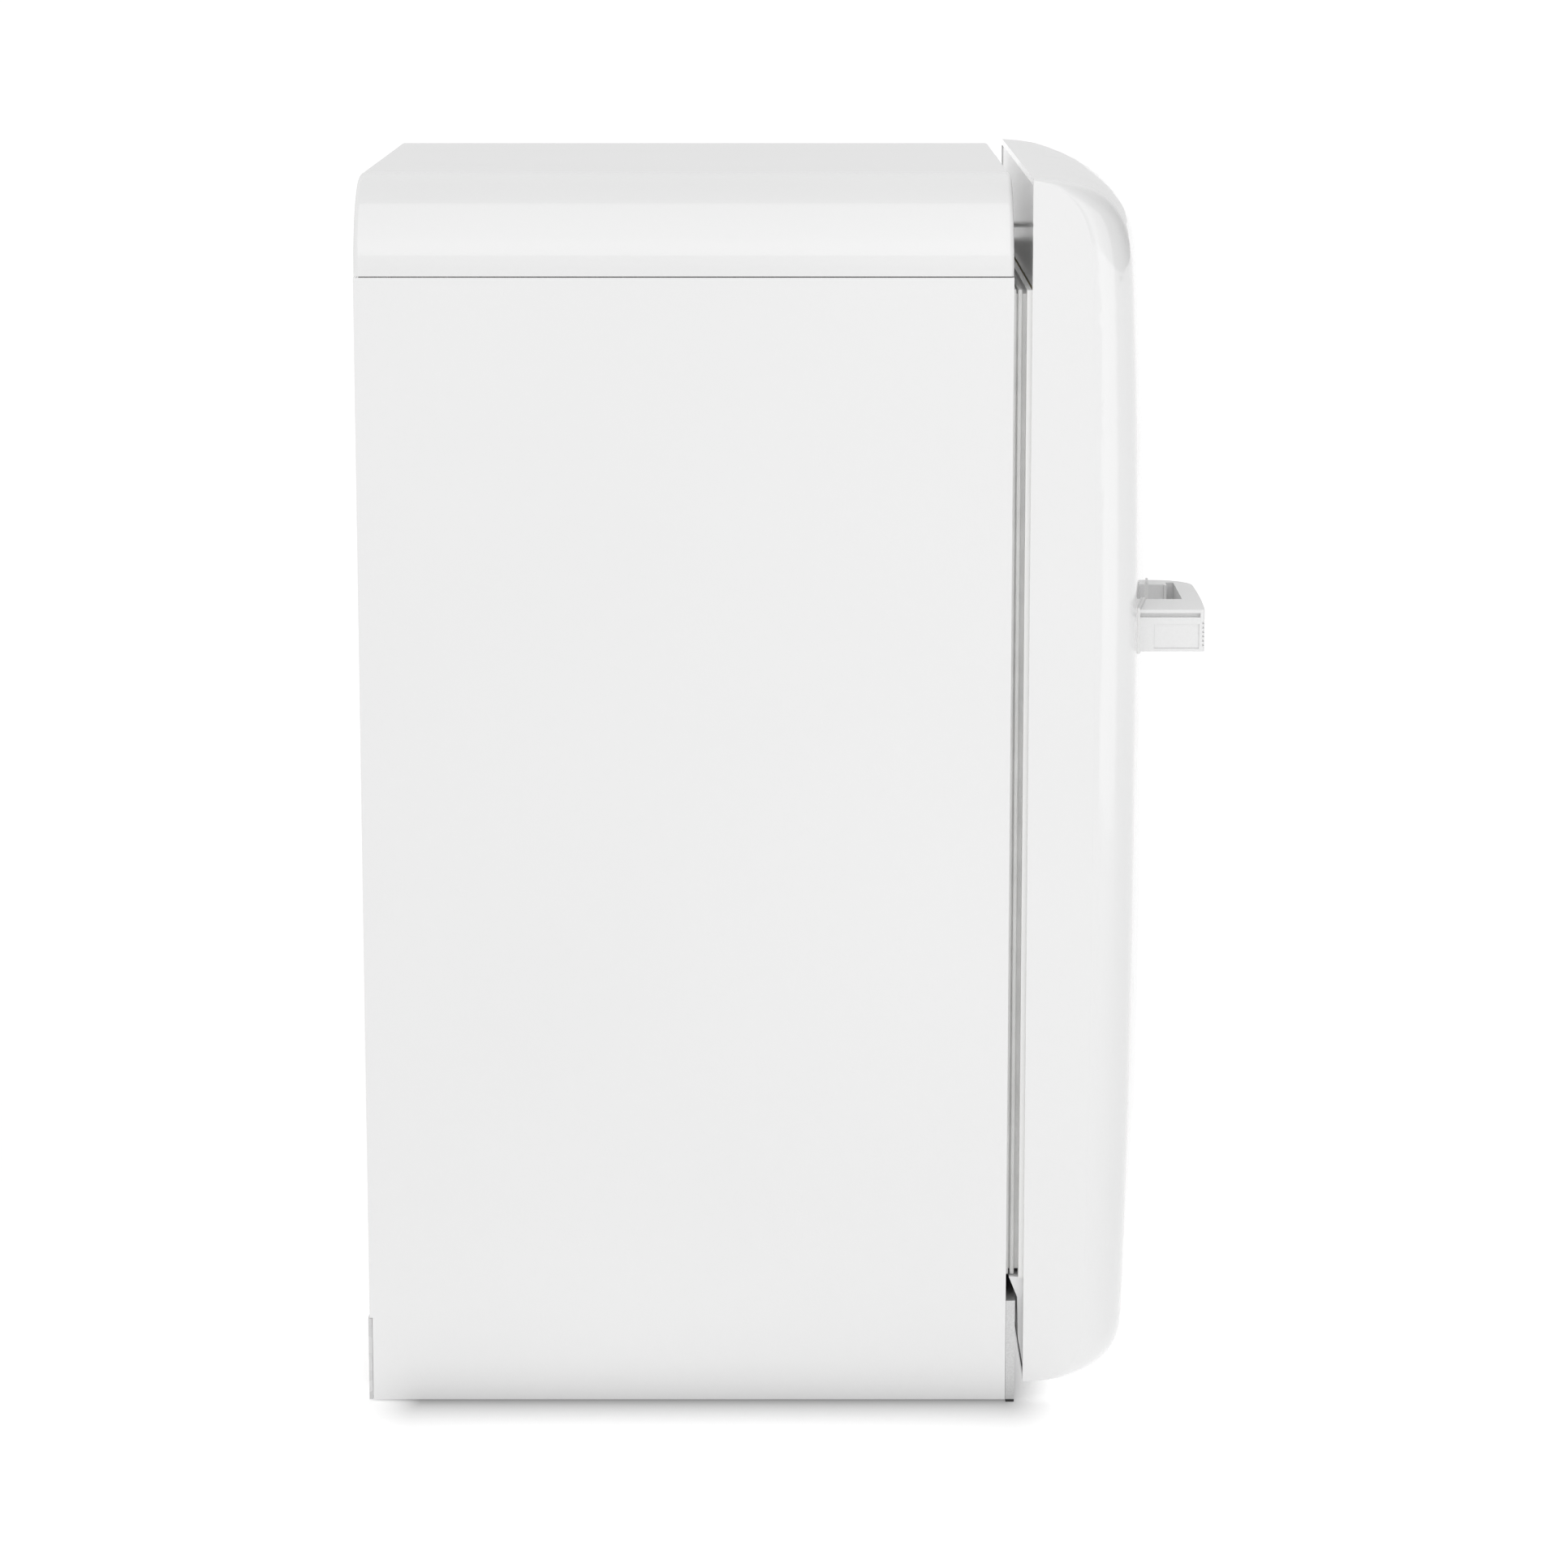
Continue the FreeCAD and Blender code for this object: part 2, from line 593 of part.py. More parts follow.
def compressor():
    """The sealed compressor: two domed pressings joined by a welded rim, and its feet."""
    low = ellipse_block(COMPRESSOR_X, COMPRESSOR_Y, 98, 72, 34, 150)
    rims = [e for e in low.Edges if e.BoundBox.ZLength < 1e-6]
    dome = low.makeFillet(38, rims)
    rim = ellipse_block(COMPRESSOR_X, COMPRESSOR_Y, 101, 75, 112, 4)
    foot = box(COMPRESSOR_X - 104, COMPRESSOR_X + 104, COMPRESSOR_Y - 52, COMPRESSOR_Y + 52,
               28, 31)
    saddle = box(COMPRESSOR_X - 60, COMPRESSOR_X + 60, COMPRESSOR_Y - 40, COMPRESSOR_Y + 40,
                 30, 40)
    body = fuse([dome, rim, foot, saddle])
    for x, y in grommet_places():
        body = body.cut(rod(x, y, 20, Z_AXIS, 6.2, 20))
    return body


def grommet_places():
    """The four corners of the compressor's foot."""
    return [(COMPRESSOR_X + sx * 92, COMPRESSOR_Y + sy * 42) for sx in (-1, 1) for sy in (-1, 1)]


def compressor_grommets():
    """Rubber sleeves that carry the compressor's feet."""
    grommets = []
    for x, y in grommet_places():
        lower = rod(x, y, PLATE_Z + PLATE_T, Z_AXIS, 11, 28 - PLATE_Z - PLATE_T)
        neck = rod(x, y, 28, Z_AXIS, 6, 4)
        cap = rod(x, y, 31.2, Z_AXIS, 9, 3)
        hole = rod(x, y, 0, Z_AXIS, 3.2, 60)
        grommets.append(fuse([lower, neck, cap]).cut(hole))
    return grommets


def compressor_bolts():
    """The bolts through the grommets."""
    bolts = []
    for x, y in grommet_places():
        shank = rod(x, y, PLATE_Z - 1.5, Z_AXIS, 3, 36 - PLATE_Z)
        head = rod(x, y, 34.4, Z_AXIS, 6, 4)
        bolts.append(fuse([shank, head]))
    return bolts


def compressor_plate():
    """The cross plate that the compressor stands on."""
    plate = wide_box(232, 140, 312, PLATE_Z, PLATE_Z + PLATE_T)
    for x, y in grommet_places():
        plate = plate.cut(rod(x, y, 0, Z_AXIS, 3.2, 40))
    for x, y in FOOT_PLACES.values():
        plate = plate.cut(rod(x, y, 0, Z_AXIS, FOOT_STEM_R + 6, 40))
    return plate


def start_relay_box():
    """The starter and overload cover on the compressor's flank."""
    x0 = COMPRESSOR_X + 88
    block = box(x0, x0 + 42, COMPRESSOR_Y - 30, COMPRESSOR_Y + 30, 66, 128)
    block = block.makeFillet(5, edges_along(block, X_AXIS, lambda p: True))
    cutter = ellipse_block(COMPRESSOR_X, COMPRESSOR_Y, 101.4, 75.4, 34, 150)
    return block.cut(cutter)


def drain_tray():
    """The evaporating tray on top of the compressor."""
    outer = box(COMPRESSOR_X - 72, COMPRESSOR_X + 92, COMPRESSOR_Y - 55, COMPRESSOR_Y + 64,
                184.2, 206)
    outer = outer.makeFillet(12, edges_along(outer, Z_AXIS, lambda p: True))
    inner = box(COMPRESSOR_X - 70, COMPRESSOR_X + 90, COMPRESSOR_Y - 53, COMPRESSOR_Y + 62,
                186.2, 207)
    inner = inner.makeFillet(10, edges_along(inner, Z_AXIS, lambda p: True))
    return outer.cut(inner)


CONDENSER_Y = 314.0
CONDENSER_TUBE_R = 2.5
WIRE_R = 0.9
CONDENSER_HALF_X = 205.0
CONDENSER_LOW_Z = 250.0
CONDENSER_HIGH_Z = 850.0
CONDENSER_ROWS = 13


CONDENSER_PITCH = (CONDENSER_HIGH_Z - CONDENSER_LOW_Z - 40) / (CONDENSER_ROWS - 1)


def condenser_row_z(row):
    """The height of one straight run of the serpentine, counted from the top."""
    return CONDENSER_HIGH_Z - 20 - row * CONDENSER_PITCH


def condenser_tube():
    """The serpentine tube on the back."""
    points = []
    for row in range(CONDENSER_ROWS):
        z = condenser_row_z(row)
        ends = (-1, 1) if row % 2 == 0 else (1, -1)
        points += [V(ends[0] * CONDENSER_HALF_X, CONDENSER_Y, z),
                   V(ends[1] * CONDENSER_HALF_X, CONDENSER_Y, z)]
    return bent_tube(points, CONDENSER_TUBE_R, CONDENSER_PITCH / 2 - 0.01)


def condenser_wires():
    """The upright wires welded to both sides of the serpentine."""
    count = 33
    span = 2 * (CONDENSER_HALF_X - 30)
    offset = CONDENSER_TUBE_R + WIRE_R
    wires = []
    for k in range(count):
        x = -span / 2 + span * k / (count - 1)
        for side in (-1, 1):
            wires.append(rod(x, CONDENSER_Y + side * offset, CONDENSER_LOW_Z, Z_AXIS, WIRE_R,
                             CONDENSER_HIGH_Z - CONDENSER_LOW_Z))
    return wires


def condenser_brackets():
    """Four folded hooks that carry the condenser's second and last-but-one runs."""
    hooks = []
    rear = CONDENSER_Y + CONDENSER_TUBE_R + 0.3
    for x in (-173.5, 165.5):
        for row in (1, CONDENSER_ROWS - 2):
            low = condenser_row_z(row) - CONDENSER_TUBE_R - 1.7
            leg = box(x, x + 8, REAR_PANEL_Y + SHEET, rear + 1.5, low, low + 1.5)
            foot = box(x, x + 8, REAR_PANEL_Y + SHEET, REAR_PANEL_Y + SHEET + 1.5, low, low + 22)
            lip = box(x, x + 8, rear, rear + 1.5, low, low + 6)
            hooks.append(fuse([leg, foot, lip]))
    return hooks


DRIER_X = 150.0
DRIER_Y = 288.0
DRIER_LOW_Z = 60.0
DRIER_HIGH_Z = 150.0


def filter_drier():
    """The copper drier between the condenser and the capillary."""
    body = rod(DRIER_X, DRIER_Y, DRIER_LOW_Z, Z_AXIS, 10, DRIER_HIGH_Z - DRIER_LOW_Z)
    top = Part.makeCone(10, 3, 12, V(DRIER_X, DRIER_Y, DRIER_HIGH_Z))
    bottom = Part.makeCone(3, 10, 12, V(DRIER_X, DRIER_Y, DRIER_LOW_Z - 12))
    return fuse([body, top, bottom])


LINE_BEND_R = 8.0
SUCTION_R = 4.0
SUCTION_X = -226.0
SUCTION_Z = 640.0
CAPILLARY_X = -217.0
CAPILLARY_R = 1.0


def compressor_hull():
    """The compressor's outline in plan, which the lines stop at."""
    return ellipse_block(COMPRESSOR_X, COMPRESSOR_Y, 98, 72, 34, 150)


def discharge_line():
    """From the compressor's flank, round the back and into the top row of the condenser."""
    side_x = 222.0
    top_row_z = condenser_row_z(0)
    points = [V(0, COMPRESSOR_Y + 40, 70), V(0, 303, 70), V(side_x, 303, 70),
              V(side_x, CONDENSER_Y, 170), V(side_x, CONDENSER_Y, 871),
              V(-side_x, CONDENSER_Y, 871), V(-side_x, CONDENSER_Y, top_row_z),
              V(-CONDENSER_HALF_X, CONDENSER_Y, top_row_z)]
    return bent_tube(points, CONDENSER_TUBE_R, LINE_BEND_R).cut(compressor_hull())


def suction_line():
    """From the cold plate's outlet, out through the back and down to the compressor."""
    points = [V(SUCTION_X, 296, SUCTION_Z), V(SUCTION_X, 309, SUCTION_Z),
              V(SUCTION_X, 309, 150), V(-172, 309, 96), V(-172, 236, 96),
              V(COMPRESSOR_X - 90, 236, 96)]
    return bent_tube(points, SUCTION_R, LINE_BEND_R).cut(compressor_hull())


def drier_feed():
    """From the condenser's last run down into the top of the drier."""
    z = condenser_row_z(CONDENSER_ROWS - 1)
    points = [V(CONDENSER_HALF_X, CONDENSER_Y, z), V(CONDENSER_HALF_X + 10, CONDENSER_Y, z),
              V(CONDENSER_HALF_X + 10, CONDENSER_Y, 196), V(DRIER_X, DRIER_Y, 196),
              V(DRIER_X, DRIER_Y, DRIER_HIGH_Z + 12)]
    return bent_tube(points, CONDENSER_TUBE_R, LINE_BEND_R)


def capillary():
    """The hair-thin tube from the drier that climbs beside the suction line."""
    points = [V(DRIER_X, DRIER_Y, DRIER_LOW_Z - 12), V(DRIER_X, DRIER_Y, 34),
              V(DRIER_X, 308, 34), V(CAPILLARY_X, 308, 34), V(CAPILLARY_X, 308, SUCTION_Z),
              V(CAPILLARY_X, 296, SUCTION_Z)]
    return bent_tube(points, CAPILLARY_R, 5.0)


def line_holes():
    """The holes that both low-pressure lines pass through in the foam and the rear panel."""
    suction = rod(SUCTION_X, 296, SUCTION_Z, Y_AXIS, SUCTION_R + 0.2, 10)
    thin = rod(CAPILLARY_X, 296, SUCTION_Z, Y_AXIS, CAPILLARY_R + 0.2, 10)
    return fuse([suction, thin])


def mains_inlet():
    """An upright plate on the base frame with the bush that the supply lead would enter."""
    plate = box(100, 144, 316, 318, BASE_FLANGE_Z + BASE_SHEET, 118)
    bush = rod(122, 308, 98, Y_AXIS, 9, 18)
    hole = rod(122, 300, 98, Y_AXIS, 4.2, 40)
    return fuse([plate, bush]).cut(hole)


# ---- hinges -------------------------------------------------------------------------------
LOWER_LEG_X0 = 226.0
LOWER_LEG_X1 = 266.0
LOWER_LEG_FRONT_Y = CABINET_FRONT_Y - 3.0


def hinge_arm(rear_y, z, thickness):
    """A flat arm that ends in a round eye on the hinge line."""
    eye = rod(HINGE_X, HINGE_Y, z, Z_AXIS, HINGE_ARM_R, thickness)
    arm = box(HINGE_X - HINGE_ARM_R, HINGE_X + HINGE_ARM_R, HINGE_Y, rear_y, z, z + thickness)
    return fuse([eye, arm])


def upper_hinge():
    """The upper bracket, which lies on the top deck, with its pin pointing down."""
    arm = hinge_arm(-100.0, UPPER_ARM_Z, UPPER_ARM_T)
    plate = box(196, 262, -168, -100, UPPER_ARM_Z, UPPER_ARM_Z + UPPER_ARM_T)
    pin = rod(HINGE_X, HINGE_Y, UPPER_ARM_Z - 26, Z_AXIS, HINGE_PIN_R, 26 + UPPER_ARM_T)
    bracket = fuse([arm, plate])
    for x, y in UPPER_SCREWS:
        bracket = bracket.cut(rod(x, y, UPPER_ARM_Z - 1, Z_AXIS, 2.6, 10))
    bracket = bracket.cut(rod(HINGE_X, HINGE_Y, UPPER_ARM_Z - 1, Z_AXIS, HINGE_PIN_R, 10))
    return bracket, pin


UPPER_SCREWS = ((208, -150), (208, -116), (HINGE_X, -116))
LOWER_SCREWS = ((236, 60), (256, 60), (246, 74))


def lower_hinge():
    """The lower bracket on the front return of the side panel, with its pin pointing up."""
    arm = hinge_arm(CABINET_FRONT_Y, LOWER_ARM_Z, LOWER_ARM_T)
    leg = box(LOWER_LEG_X0, LOWER_LEG_X1, LOWER_LEG_FRONT_Y, CABINET_FRONT_Y, 48,
              LOWER_ARM_Z + LOWER_ARM_T)
    bracket = fuse([arm, leg])
    for x, z in LOWER_SCREWS:
        bracket = bracket.cut(rod(x, LOWER_LEG_FRONT_Y - 1, z, Y_AXIS, 2.6, 10))
    bracket = bracket.cut(rod(HINGE_X, HINGE_Y, LOWER_ARM_Z - 1, Z_AXIS, HINGE_PIN_R, 10))
    pin = rod(HINGE_X, HINGE_Y, LOWER_ARM_Z, Z_AXIS, HINGE_PIN_R, LOWER_ARM_T + 24)
    return bracket, pin


def hinge_screws():
    """All the screws of the two brackets."""
    screws = []
    for x, y in UPPER_SCREWS:
        head = rod(x, y, UPPER_ARM_Z + UPPER_ARM_T, Z_AXIS, 4.2, 2.4)
        shank = rod(x, y, UPPER_ARM_Z, Z_AXIS, 2.5, UPPER_ARM_T)
        screws.append(fuse([head, shank]))
    for x, z in LOWER_SCREWS:
        head = rod(x, LOWER_LEG_FRONT_Y - 1.8, z, Y_AXIS, 4.2, 1.8)
        shank = rod(x, LOWER_LEG_FRONT_Y, z, Y_AXIS, 2.5, 3)
        screws.append(fuse([head, shank]))
    return screws


# ---- door ---------------------------------------------------------------------------------
def side_depth(x, inset):
    """How far the door's plan outline falls back from its front at a distance from centre."""
    crown = DOOR_SIDE_CROWN_R - inset
    radius = DOOR_SIDE_R - inset
    centre = HALF_X - inset - radius * END_SHARE
    meet = centre * crown / (crown - radius)
    x = abs(x)
    if x <= meet:
        return crown - math.sqrt(crown * crown - x * x)
    at_meet = crown - math.sqrt(crown * crown - meet * meet)
    cosine = math.sqrt(1 - (meet / crown) ** 2)
    reach = min((x - centre) / radius, END_SHARE)
    return at_meet + radius * (cosine - math.sqrt(1 - reach * reach))


def end_depth(z, inset):
    """The same for the side outline, at a height."""
    crown = DOOR_UPPER_CROWN_R if z > DOOR_CROWN_Z else DOOR_LOWER_CROWN_R
    depth = (z - DOOR_CROWN_Z) ** 2 / (2 * crown)
    above = z - (OVERALL_HEIGHT - inset - DOOR_TOP_HEIGHT)
    below = DOOR_LOW_Z + inset + DOOR_BOTTOM_HEIGHT - z
    for reach, tall, deep, power in (
        (above, DOOR_TOP_HEIGHT, DOOR_TOP_DEPTH, DOOR_TOP_POWER),
        (below, DOOR_BOTTOM_HEIGHT, DOOR_BOTTOM_DEPTH, DOOR_BOTTOM_POWER),
    ):
        share = min(max(reach / tall, 0.0), 1.0) * END_SHARE
        depth += deep * (1 - (1 - share ** power) ** (1 / power))
    return depth


def front_y(x, z, inset=0.0):
    """The door's front surface at a place."""
    blended = (side_depth(x, inset) ** DOOR_BLEND_POWER
               + end_depth(z, inset) ** DOOR_BLEND_POWER) ** (1 / DOOR_BLEND_POWER)
    return DOOR_FRONT_Y + inset + blended


def polar_shares(power, count):
    """Distances along a superellipse quarter, evenly turned, from its start to its end."""
    shares = []
    for k in range(1, count + 1):
        turn = math.pi / 2 * k / count
        scale = (math.cos(turn) ** power + math.sin(turn) ** power) ** (-1 / power)
        shares.append(math.sin(turn) * scale)
    shares[-1] = 1.0
    return shares


def spread(start, end, count):
    """Evenly spaced values, both ends included."""
    return [start + (end - start) * k / (count - 1) for k in range(count)]


def arc_lengths(points):
    """Running lengths along a row of points, starting at zero."""
    lengths = [0.0]
    for before, after in zip(points, points[1:]):
        lengths.append(lengths[-1] + (after - before).Length)
    return lengths


def spline_through(points, lengths):
    """A cubic curve through points at given parameters."""
    curve = Part.BSplineCurve()
    curve.interpolate(Points=points, Parameters=lengths)
    return curve


def spline_surface(grid):
    """A smooth surface through a grid: one pass along each column, then one across."""
    middle_column = grid[len(grid) // 2]
    middle_row = [column[len(column) // 2] for column in grid]
    up = arc_lengths(middle_column)
    across = arc_lengths(middle_row)
    columns = [spline_through(column, up) for column in grid]
    column_poles = [curve.getPoles() for curve in columns]
    rows = [spline_through([poles[j] for poles in column_poles], across)
            for j in range(len(column_poles[0]))]
    poles = [list(row) for row in zip(*[curve.getPoles() for curve in rows])]
    surface = Part.BSplineSurface()
    surface.buildFromPolesMultsKnots(
        poles, rows[0].getMultiplicities(), columns[0].getMultiplicities(),
        rows[0].getKnots(), columns[0].getKnots(), False, False, 3, 3)
    return surface


def pillow(inset):
    """The crowned door body, cut flat at its rear plane; inset gives a parallel inner body."""
    half = HALF_X - inset
    high = OVERALL_HEIGHT - inset
    low = DOOR_LOW_Z + inset
    start_x = half - (DOOR_SIDE_R - inset)
    right = [start_x + (half - start_x) * s for s in polar_shares(2.0, 8)]
    across = [-x for x in reversed(right)] + spread(-start_x, start_x, 11) + right
    top = [high - DOOR_TOP_HEIGHT + DOOR_TOP_HEIGHT * s
           for s in polar_shares(DOOR_TOP_POWER, 10)]
    bottom = [low + DOOR_BOTTOM_HEIGHT - DOOR_BOTTOM_HEIGHT * s
              for s in polar_shares(DOOR_BOTTOM_POWER, 9)]
    up = (list(reversed(bottom))
          + spread(low + DOOR_BOTTOM_HEIGHT, high - DOOR_TOP_HEIGHT, 13) + top)
    grid = [[V(x, front_y(x, z, inset), z) for z in up] for x in across]
    body = spline_surface(grid).toShape().extrude(V(0, 260, 0))
    keep = wide_box(HALF_X + 5, DOOR_FRONT_Y - 10, DOOR_REAR_Y, 0, OVERALL_HEIGHT + 5)
    return body.common(keep).Solids[0]


def hinge_pockets(grow):
    """The spaces at the hinge corners that clear both arms while the door turns."""
    x0 = HINGE_X - HINGE_ARM_R - POCKET_GAP - grow
    y0 = HINGE_Y - HINGE_ARM_R - 12 - grow
    spans = ((UPPER_ARM_Z - POCKET_GAP, UPPER_ARM_Z + UPPER_ARM_T + POCKET_GAP),
             (LOWER_ARM_Z - POCKET_GAP, LOWER_ARM_Z + LOWER_ARM_T + POCKET_GAP))
    return [box(x0, HALF_X + 5, y0, CABINET_FRONT_Y, z0 - grow, z1 + grow) for z0, z1 in spans]


def door_bodies():
    """The nested outlines that the door's pieces are cut from."""
    return {inset: pillow(inset) for inset in (0.0, DOOR_SKIN, DOOR_SKIN + DOOR_HEM)}


def door_shell(bodies):
    """The pressed steel skin with a narrow hem round its rear edge."""
    skin = bodies[0.0].cut(bodies[DOOR_SKIN])
    slab = wide_box(HALF_X + 5, DOOR_REAR_Y - DOOR_SKIN, DOOR_REAR_Y, 0, OVERALL_HEIGHT + 5)
    hem = bodies[DOOR_SKIN].common(slab).cut(bodies[DOOR_SKIN + DOOR_HEM])
    shell = fuse([skin, hem])
    for pocket in hinge_pockets(0.0):
        shell = shell.cut(pocket)
    return shell


CAP_T = 2.5


def door_cap(bodies, z0, z1, pocket_index):
    """A grey moulding that closes the shell's back above or below the inner panel."""
    y1 = DOOR_REAR_Y - DOOR_SKIN
    slab = wide_box(HALF_X + 5, y1 - CAP_T, y1, z0, z1)
    plate = bodies[DOOR_SKIN].common(slab)
    room = hinge_pockets(2.0)[pocket_index].common(
        bodies[DOOR_SKIN].common(wide_box(HALF_X + 5, -400, y1, 0, OVERALL_HEIGHT + 5)))
    cap = fuse([plate, room]).cut(hinge_pockets(0.0)[pocket_index])
    return cap.cut(rod(HINGE_X, HINGE_Y, 0, Z_AXIS, BUSH_R, OVERALL_HEIGHT))


LIP_HALF_X = 262.0


def lower_cap(bodies):
    """The lower moulding, with the sloping lip that stands behind the kick plate."""
    top = CORE_LOW_Z - 0.3
    y1 = DOOR_REAR_Y - DOOR_SKIN
    profile = [V(-LIP_HALF_X, y, z) for y, z in (
        (y1 - 0.5, 24), (y1, 24), (PLINTH_FRONT_Y - 3, 50), (PLINTH_FRONT_Y - 2.2, PLINTH_HIGH_Z),
        (CABINET_FRONT_Y - 2.8, top), (y1 - 0.5, top))]
    lip = prism(profile, V(2 * LIP_HALF_X, 0, 0)).cut(hinge_pockets(0.0)[1])
    return fuse([door_cap(bodies, 0, top, 1), lip])


PLUG_CORNER_R = 18.0


def inner_panel():
    """The white inner panel: a flange, a raised plug and two upright ribs for the racks."""
    flange = wide_box(PANEL_HALF_X, DOOR_REAR_Y, PANEL_REAR_Y, CORE_LOW_Z, CORE_HIGH_Z)
    plug = wide_box(PLUG_HALF_X, PANEL_REAR_Y - 1, PLUG_REAR_Y, PLUG_LOW_Z, PLUG_HIGH_Z)
    plug = plug.makeFillet(PLUG_CORNER_R, edges_along(plug, Y_AXIS, lambda p: True))
    ribs = [box(*sorted((side * DYKE_INNER_X, side * DYKE_OUTER_X)), PLUG_REAR_Y - 1,
                DYKE_REAR_Y, DYKE_LOW_Z, DYKE_HIGH_Z) for side in (-1, 1)]
    return fuse([flange, plug] + ribs)


def inner_panel_core():
    """The foam-filled inside of the inner panel."""
    wall = 2.0
    flange = wide_box(PANEL_HALF_X - 10, DOOR_REAR_Y - 1, PANEL_REAR_Y - wall, CORE_LOW_Z + 10,
                      CORE_HIGH_Z - 10)
    plug = wide_box(PLUG_HALF_X - wall, PANEL_REAR_Y - wall - 1, PLUG_REAR_Y - wall,
                    PLUG_LOW_Z + wall, PLUG_HIGH_Z - wall)
    plug = plug.makeFillet(PLUG_CORNER_R - wall, edges_along(plug, Y_AXIS, lambda p: True))
    ribs = [box(*sorted((side * (DYKE_INNER_X + wall), side * (DYKE_OUTER_X - wall))),
                PLUG_REAR_Y - wall - 1, DYKE_REAR_Y - wall, DYKE_LOW_Z + wall,
                DYKE_HIGH_Z - wall) for side in (-1, 1)]
    return fuse([flange, plug] + ribs)


LID_AXIS_Y = -158.0
LID_AXIS_Z = 801.0
LID_PIN_R = 2.5


def door_inner_panel():
    """The panel with its core removed and the lid's two pivot holes."""
    panel = inner_panel().cut(inner_panel_core())
    hole = rod(-DYKE_INNER_X - 2.2, LID_AXIS_Y, LID_AXIS_Z, X_AXIS, LID_PIN_R + 0.1,
               2 * DYKE_INNER_X + 4.4)
    return panel.cut(hole)


def door_foam(bodies):
    """Rigid foam that fills the door between the skin, the caps and the inner panel."""
    y1 = DOOR_REAR_Y - DOOR_SKIN - CAP_T
    fill = bodies[DOOR_SKIN].common(
        wide_box(HALF_X + 5, -400, y1, 0, OVERALL_HEIGHT + 5))
    middle = bodies[DOOR_SKIN].common(
        wide_box(HALF_X + 5, y1, DOOR_REAR_Y - DOOR_SKIN, CORE_LOW_Z + 0.5, CORE_HIGH_Z - 0.5))
    neck = wide_box(PANEL_HALF_X - 10, DOOR_REAR_Y - DOOR_SKIN - 0.5, DOOR_REAR_Y, CORE_LOW_Z + 10,
                    CORE_HIGH_Z - 10)
    foam = fuse([fill, middle, neck, inner_panel_core()])
    for pocket in hinge_pockets(2.0):
        foam = foam.cut(pocket)
    for z0 in (BUSH_UPPER_Z, BUSH_LOWER_Z):
        foam = foam.cut(rod(HINGE_X, HINGE_Y, z0, Z_AXIS, BUSH_R, BUSH_LENGTH))
    return foam


BUSH_LENGTH = 22.0
BUSH_FLOOR = 2.0
BUSH_FLANGE_T = POCKET_GAP - 0.3
BUSH_UPPER_Z = UPPER_ARM_Z - POCKET_GAP - BUSH_FLOOR - BUSH_LENGTH
BUSH_LOWER_Z = LOWER_ARM_Z + LOWER_ARM_T + POCKET_GAP + BUSH_FLOOR


def bush_body(upper):
    """One bush without its bore; its flange faces the hinge arm with a small gap."""
    reach = BUSH_LENGTH + BUSH_FLOOR
    if upper:
        barrel_z = BUSH_UPPER_Z
        flange_z = BUSH_UPPER_Z + reach
    else:
        barrel_z = BUSH_LOWER_Z - BUSH_FLOOR
        flange_z = barrel_z - BUSH_FLANGE_T
    barrel = rod(HINGE_X, HINGE_Y, barrel_z, Z_AXIS, BUSH_R, reach)
    flange = rod(HINGE_X, HINGE_Y, flange_z, Z_AXIS, BUSH_R + 2, BUSH_FLANGE_T)
    return fuse([barrel, flange])


def hinge_bushes():
    """Two flanged plastic bushes in the door that turn on the pins."""
    bore = rod(HINGE_X, HINGE_Y, 0, Z_AXIS, HINGE_PIN_R + HINGE_CLEARANCE, OVERALL_HEIGHT)
    return bush_body(True).cut(bore), bush_body(False).cut(bore)


GASKET_OUT_X = 257.0
GASKET_WIDTH = 12.0
GASKET_LOW_Z = CORE_LOW_Z + 0.5
GASKET_HIGH_Z = 884.5
GASKET_REAR_Y = CABINET_FRONT_Y - 0.6
GASKET_LIP_T = 1.6
GASKET_BELLOWS_T = 3.4
GASKET_NECK_T = 1.4
GASKET_NECK_DEPTH = 3.5


def gasket_ring(y0, y1, depth):
    """One closed frame of the seal, set back from its outer edge by a depth."""
    x = GASKET_OUT_X - depth
    outer = wide_box(x, y0, y1, GASKET_LOW_Z + depth, GASKET_HIGH_Z - depth)
    inner = wide_box(GASKET_OUT_X - GASKET_WIDTH, y0 - 1, y1 + 1, GASKET_LOW_Z + GASKET_WIDTH,
                     GASKET_HIGH_Z - GASKET_WIDTH)
    return outer.cut(inner)


def door_gasket():
    """The magnetic seal: a lip on the cabinet, a neck, a hollow fold and its foot."""
    lip_y = GASKET_REAR_Y - GASKET_LIP_T
    neck_y = lip_y - GASKET_NECK_T
    fold_y = neck_y - GASKET_BELLOWS_T
    fold = gasket_ring(fold_y, neck_y, 0)
    rounded = [e for e in fold.Edges if on_gasket_rim(e)]
    return fuse([gasket_ring(lip_y, GASKET_REAR_Y, 0),
                 gasket_ring(neck_y, lip_y, GASKET_NECK_DEPTH),
                 fold.makeFillet(1.2, rounded),
                 gasket_ring(PANEL_REAR_Y, fold_y, GASKET_NECK_DEPTH)])


def on_gasket_rim(edge):
    """True for the long edges round the outside of the fold."""
    point = edge.CenterOfMass
    level = edge.BoundBox.YLength < 0.1
    return level and (abs(point.x) > GASKET_OUT_X - 1 or point.z < GASKET_LOW_Z + 1
                      or point.z > GASKET_HIGH_Z - 1)


GRIP_NEAR_X = HANDLE_NEAR_X + 55
GRIP_FAR_X = HANDLE_FAR_X - 26
GRIP_FRONT_Y = -315.0
GRIP_CORNER_Y = GRIP_FRONT_Y + 6.4
HANDLE_PLATE_T = 2.0
HANDLE_FAR_R = 30.0
HANDLE_BOW = 1.6
HANDLE_CAP_T = 3.0
HANDLE_RIBS = 6
HANDLE_RIB_PITCH = 3.45


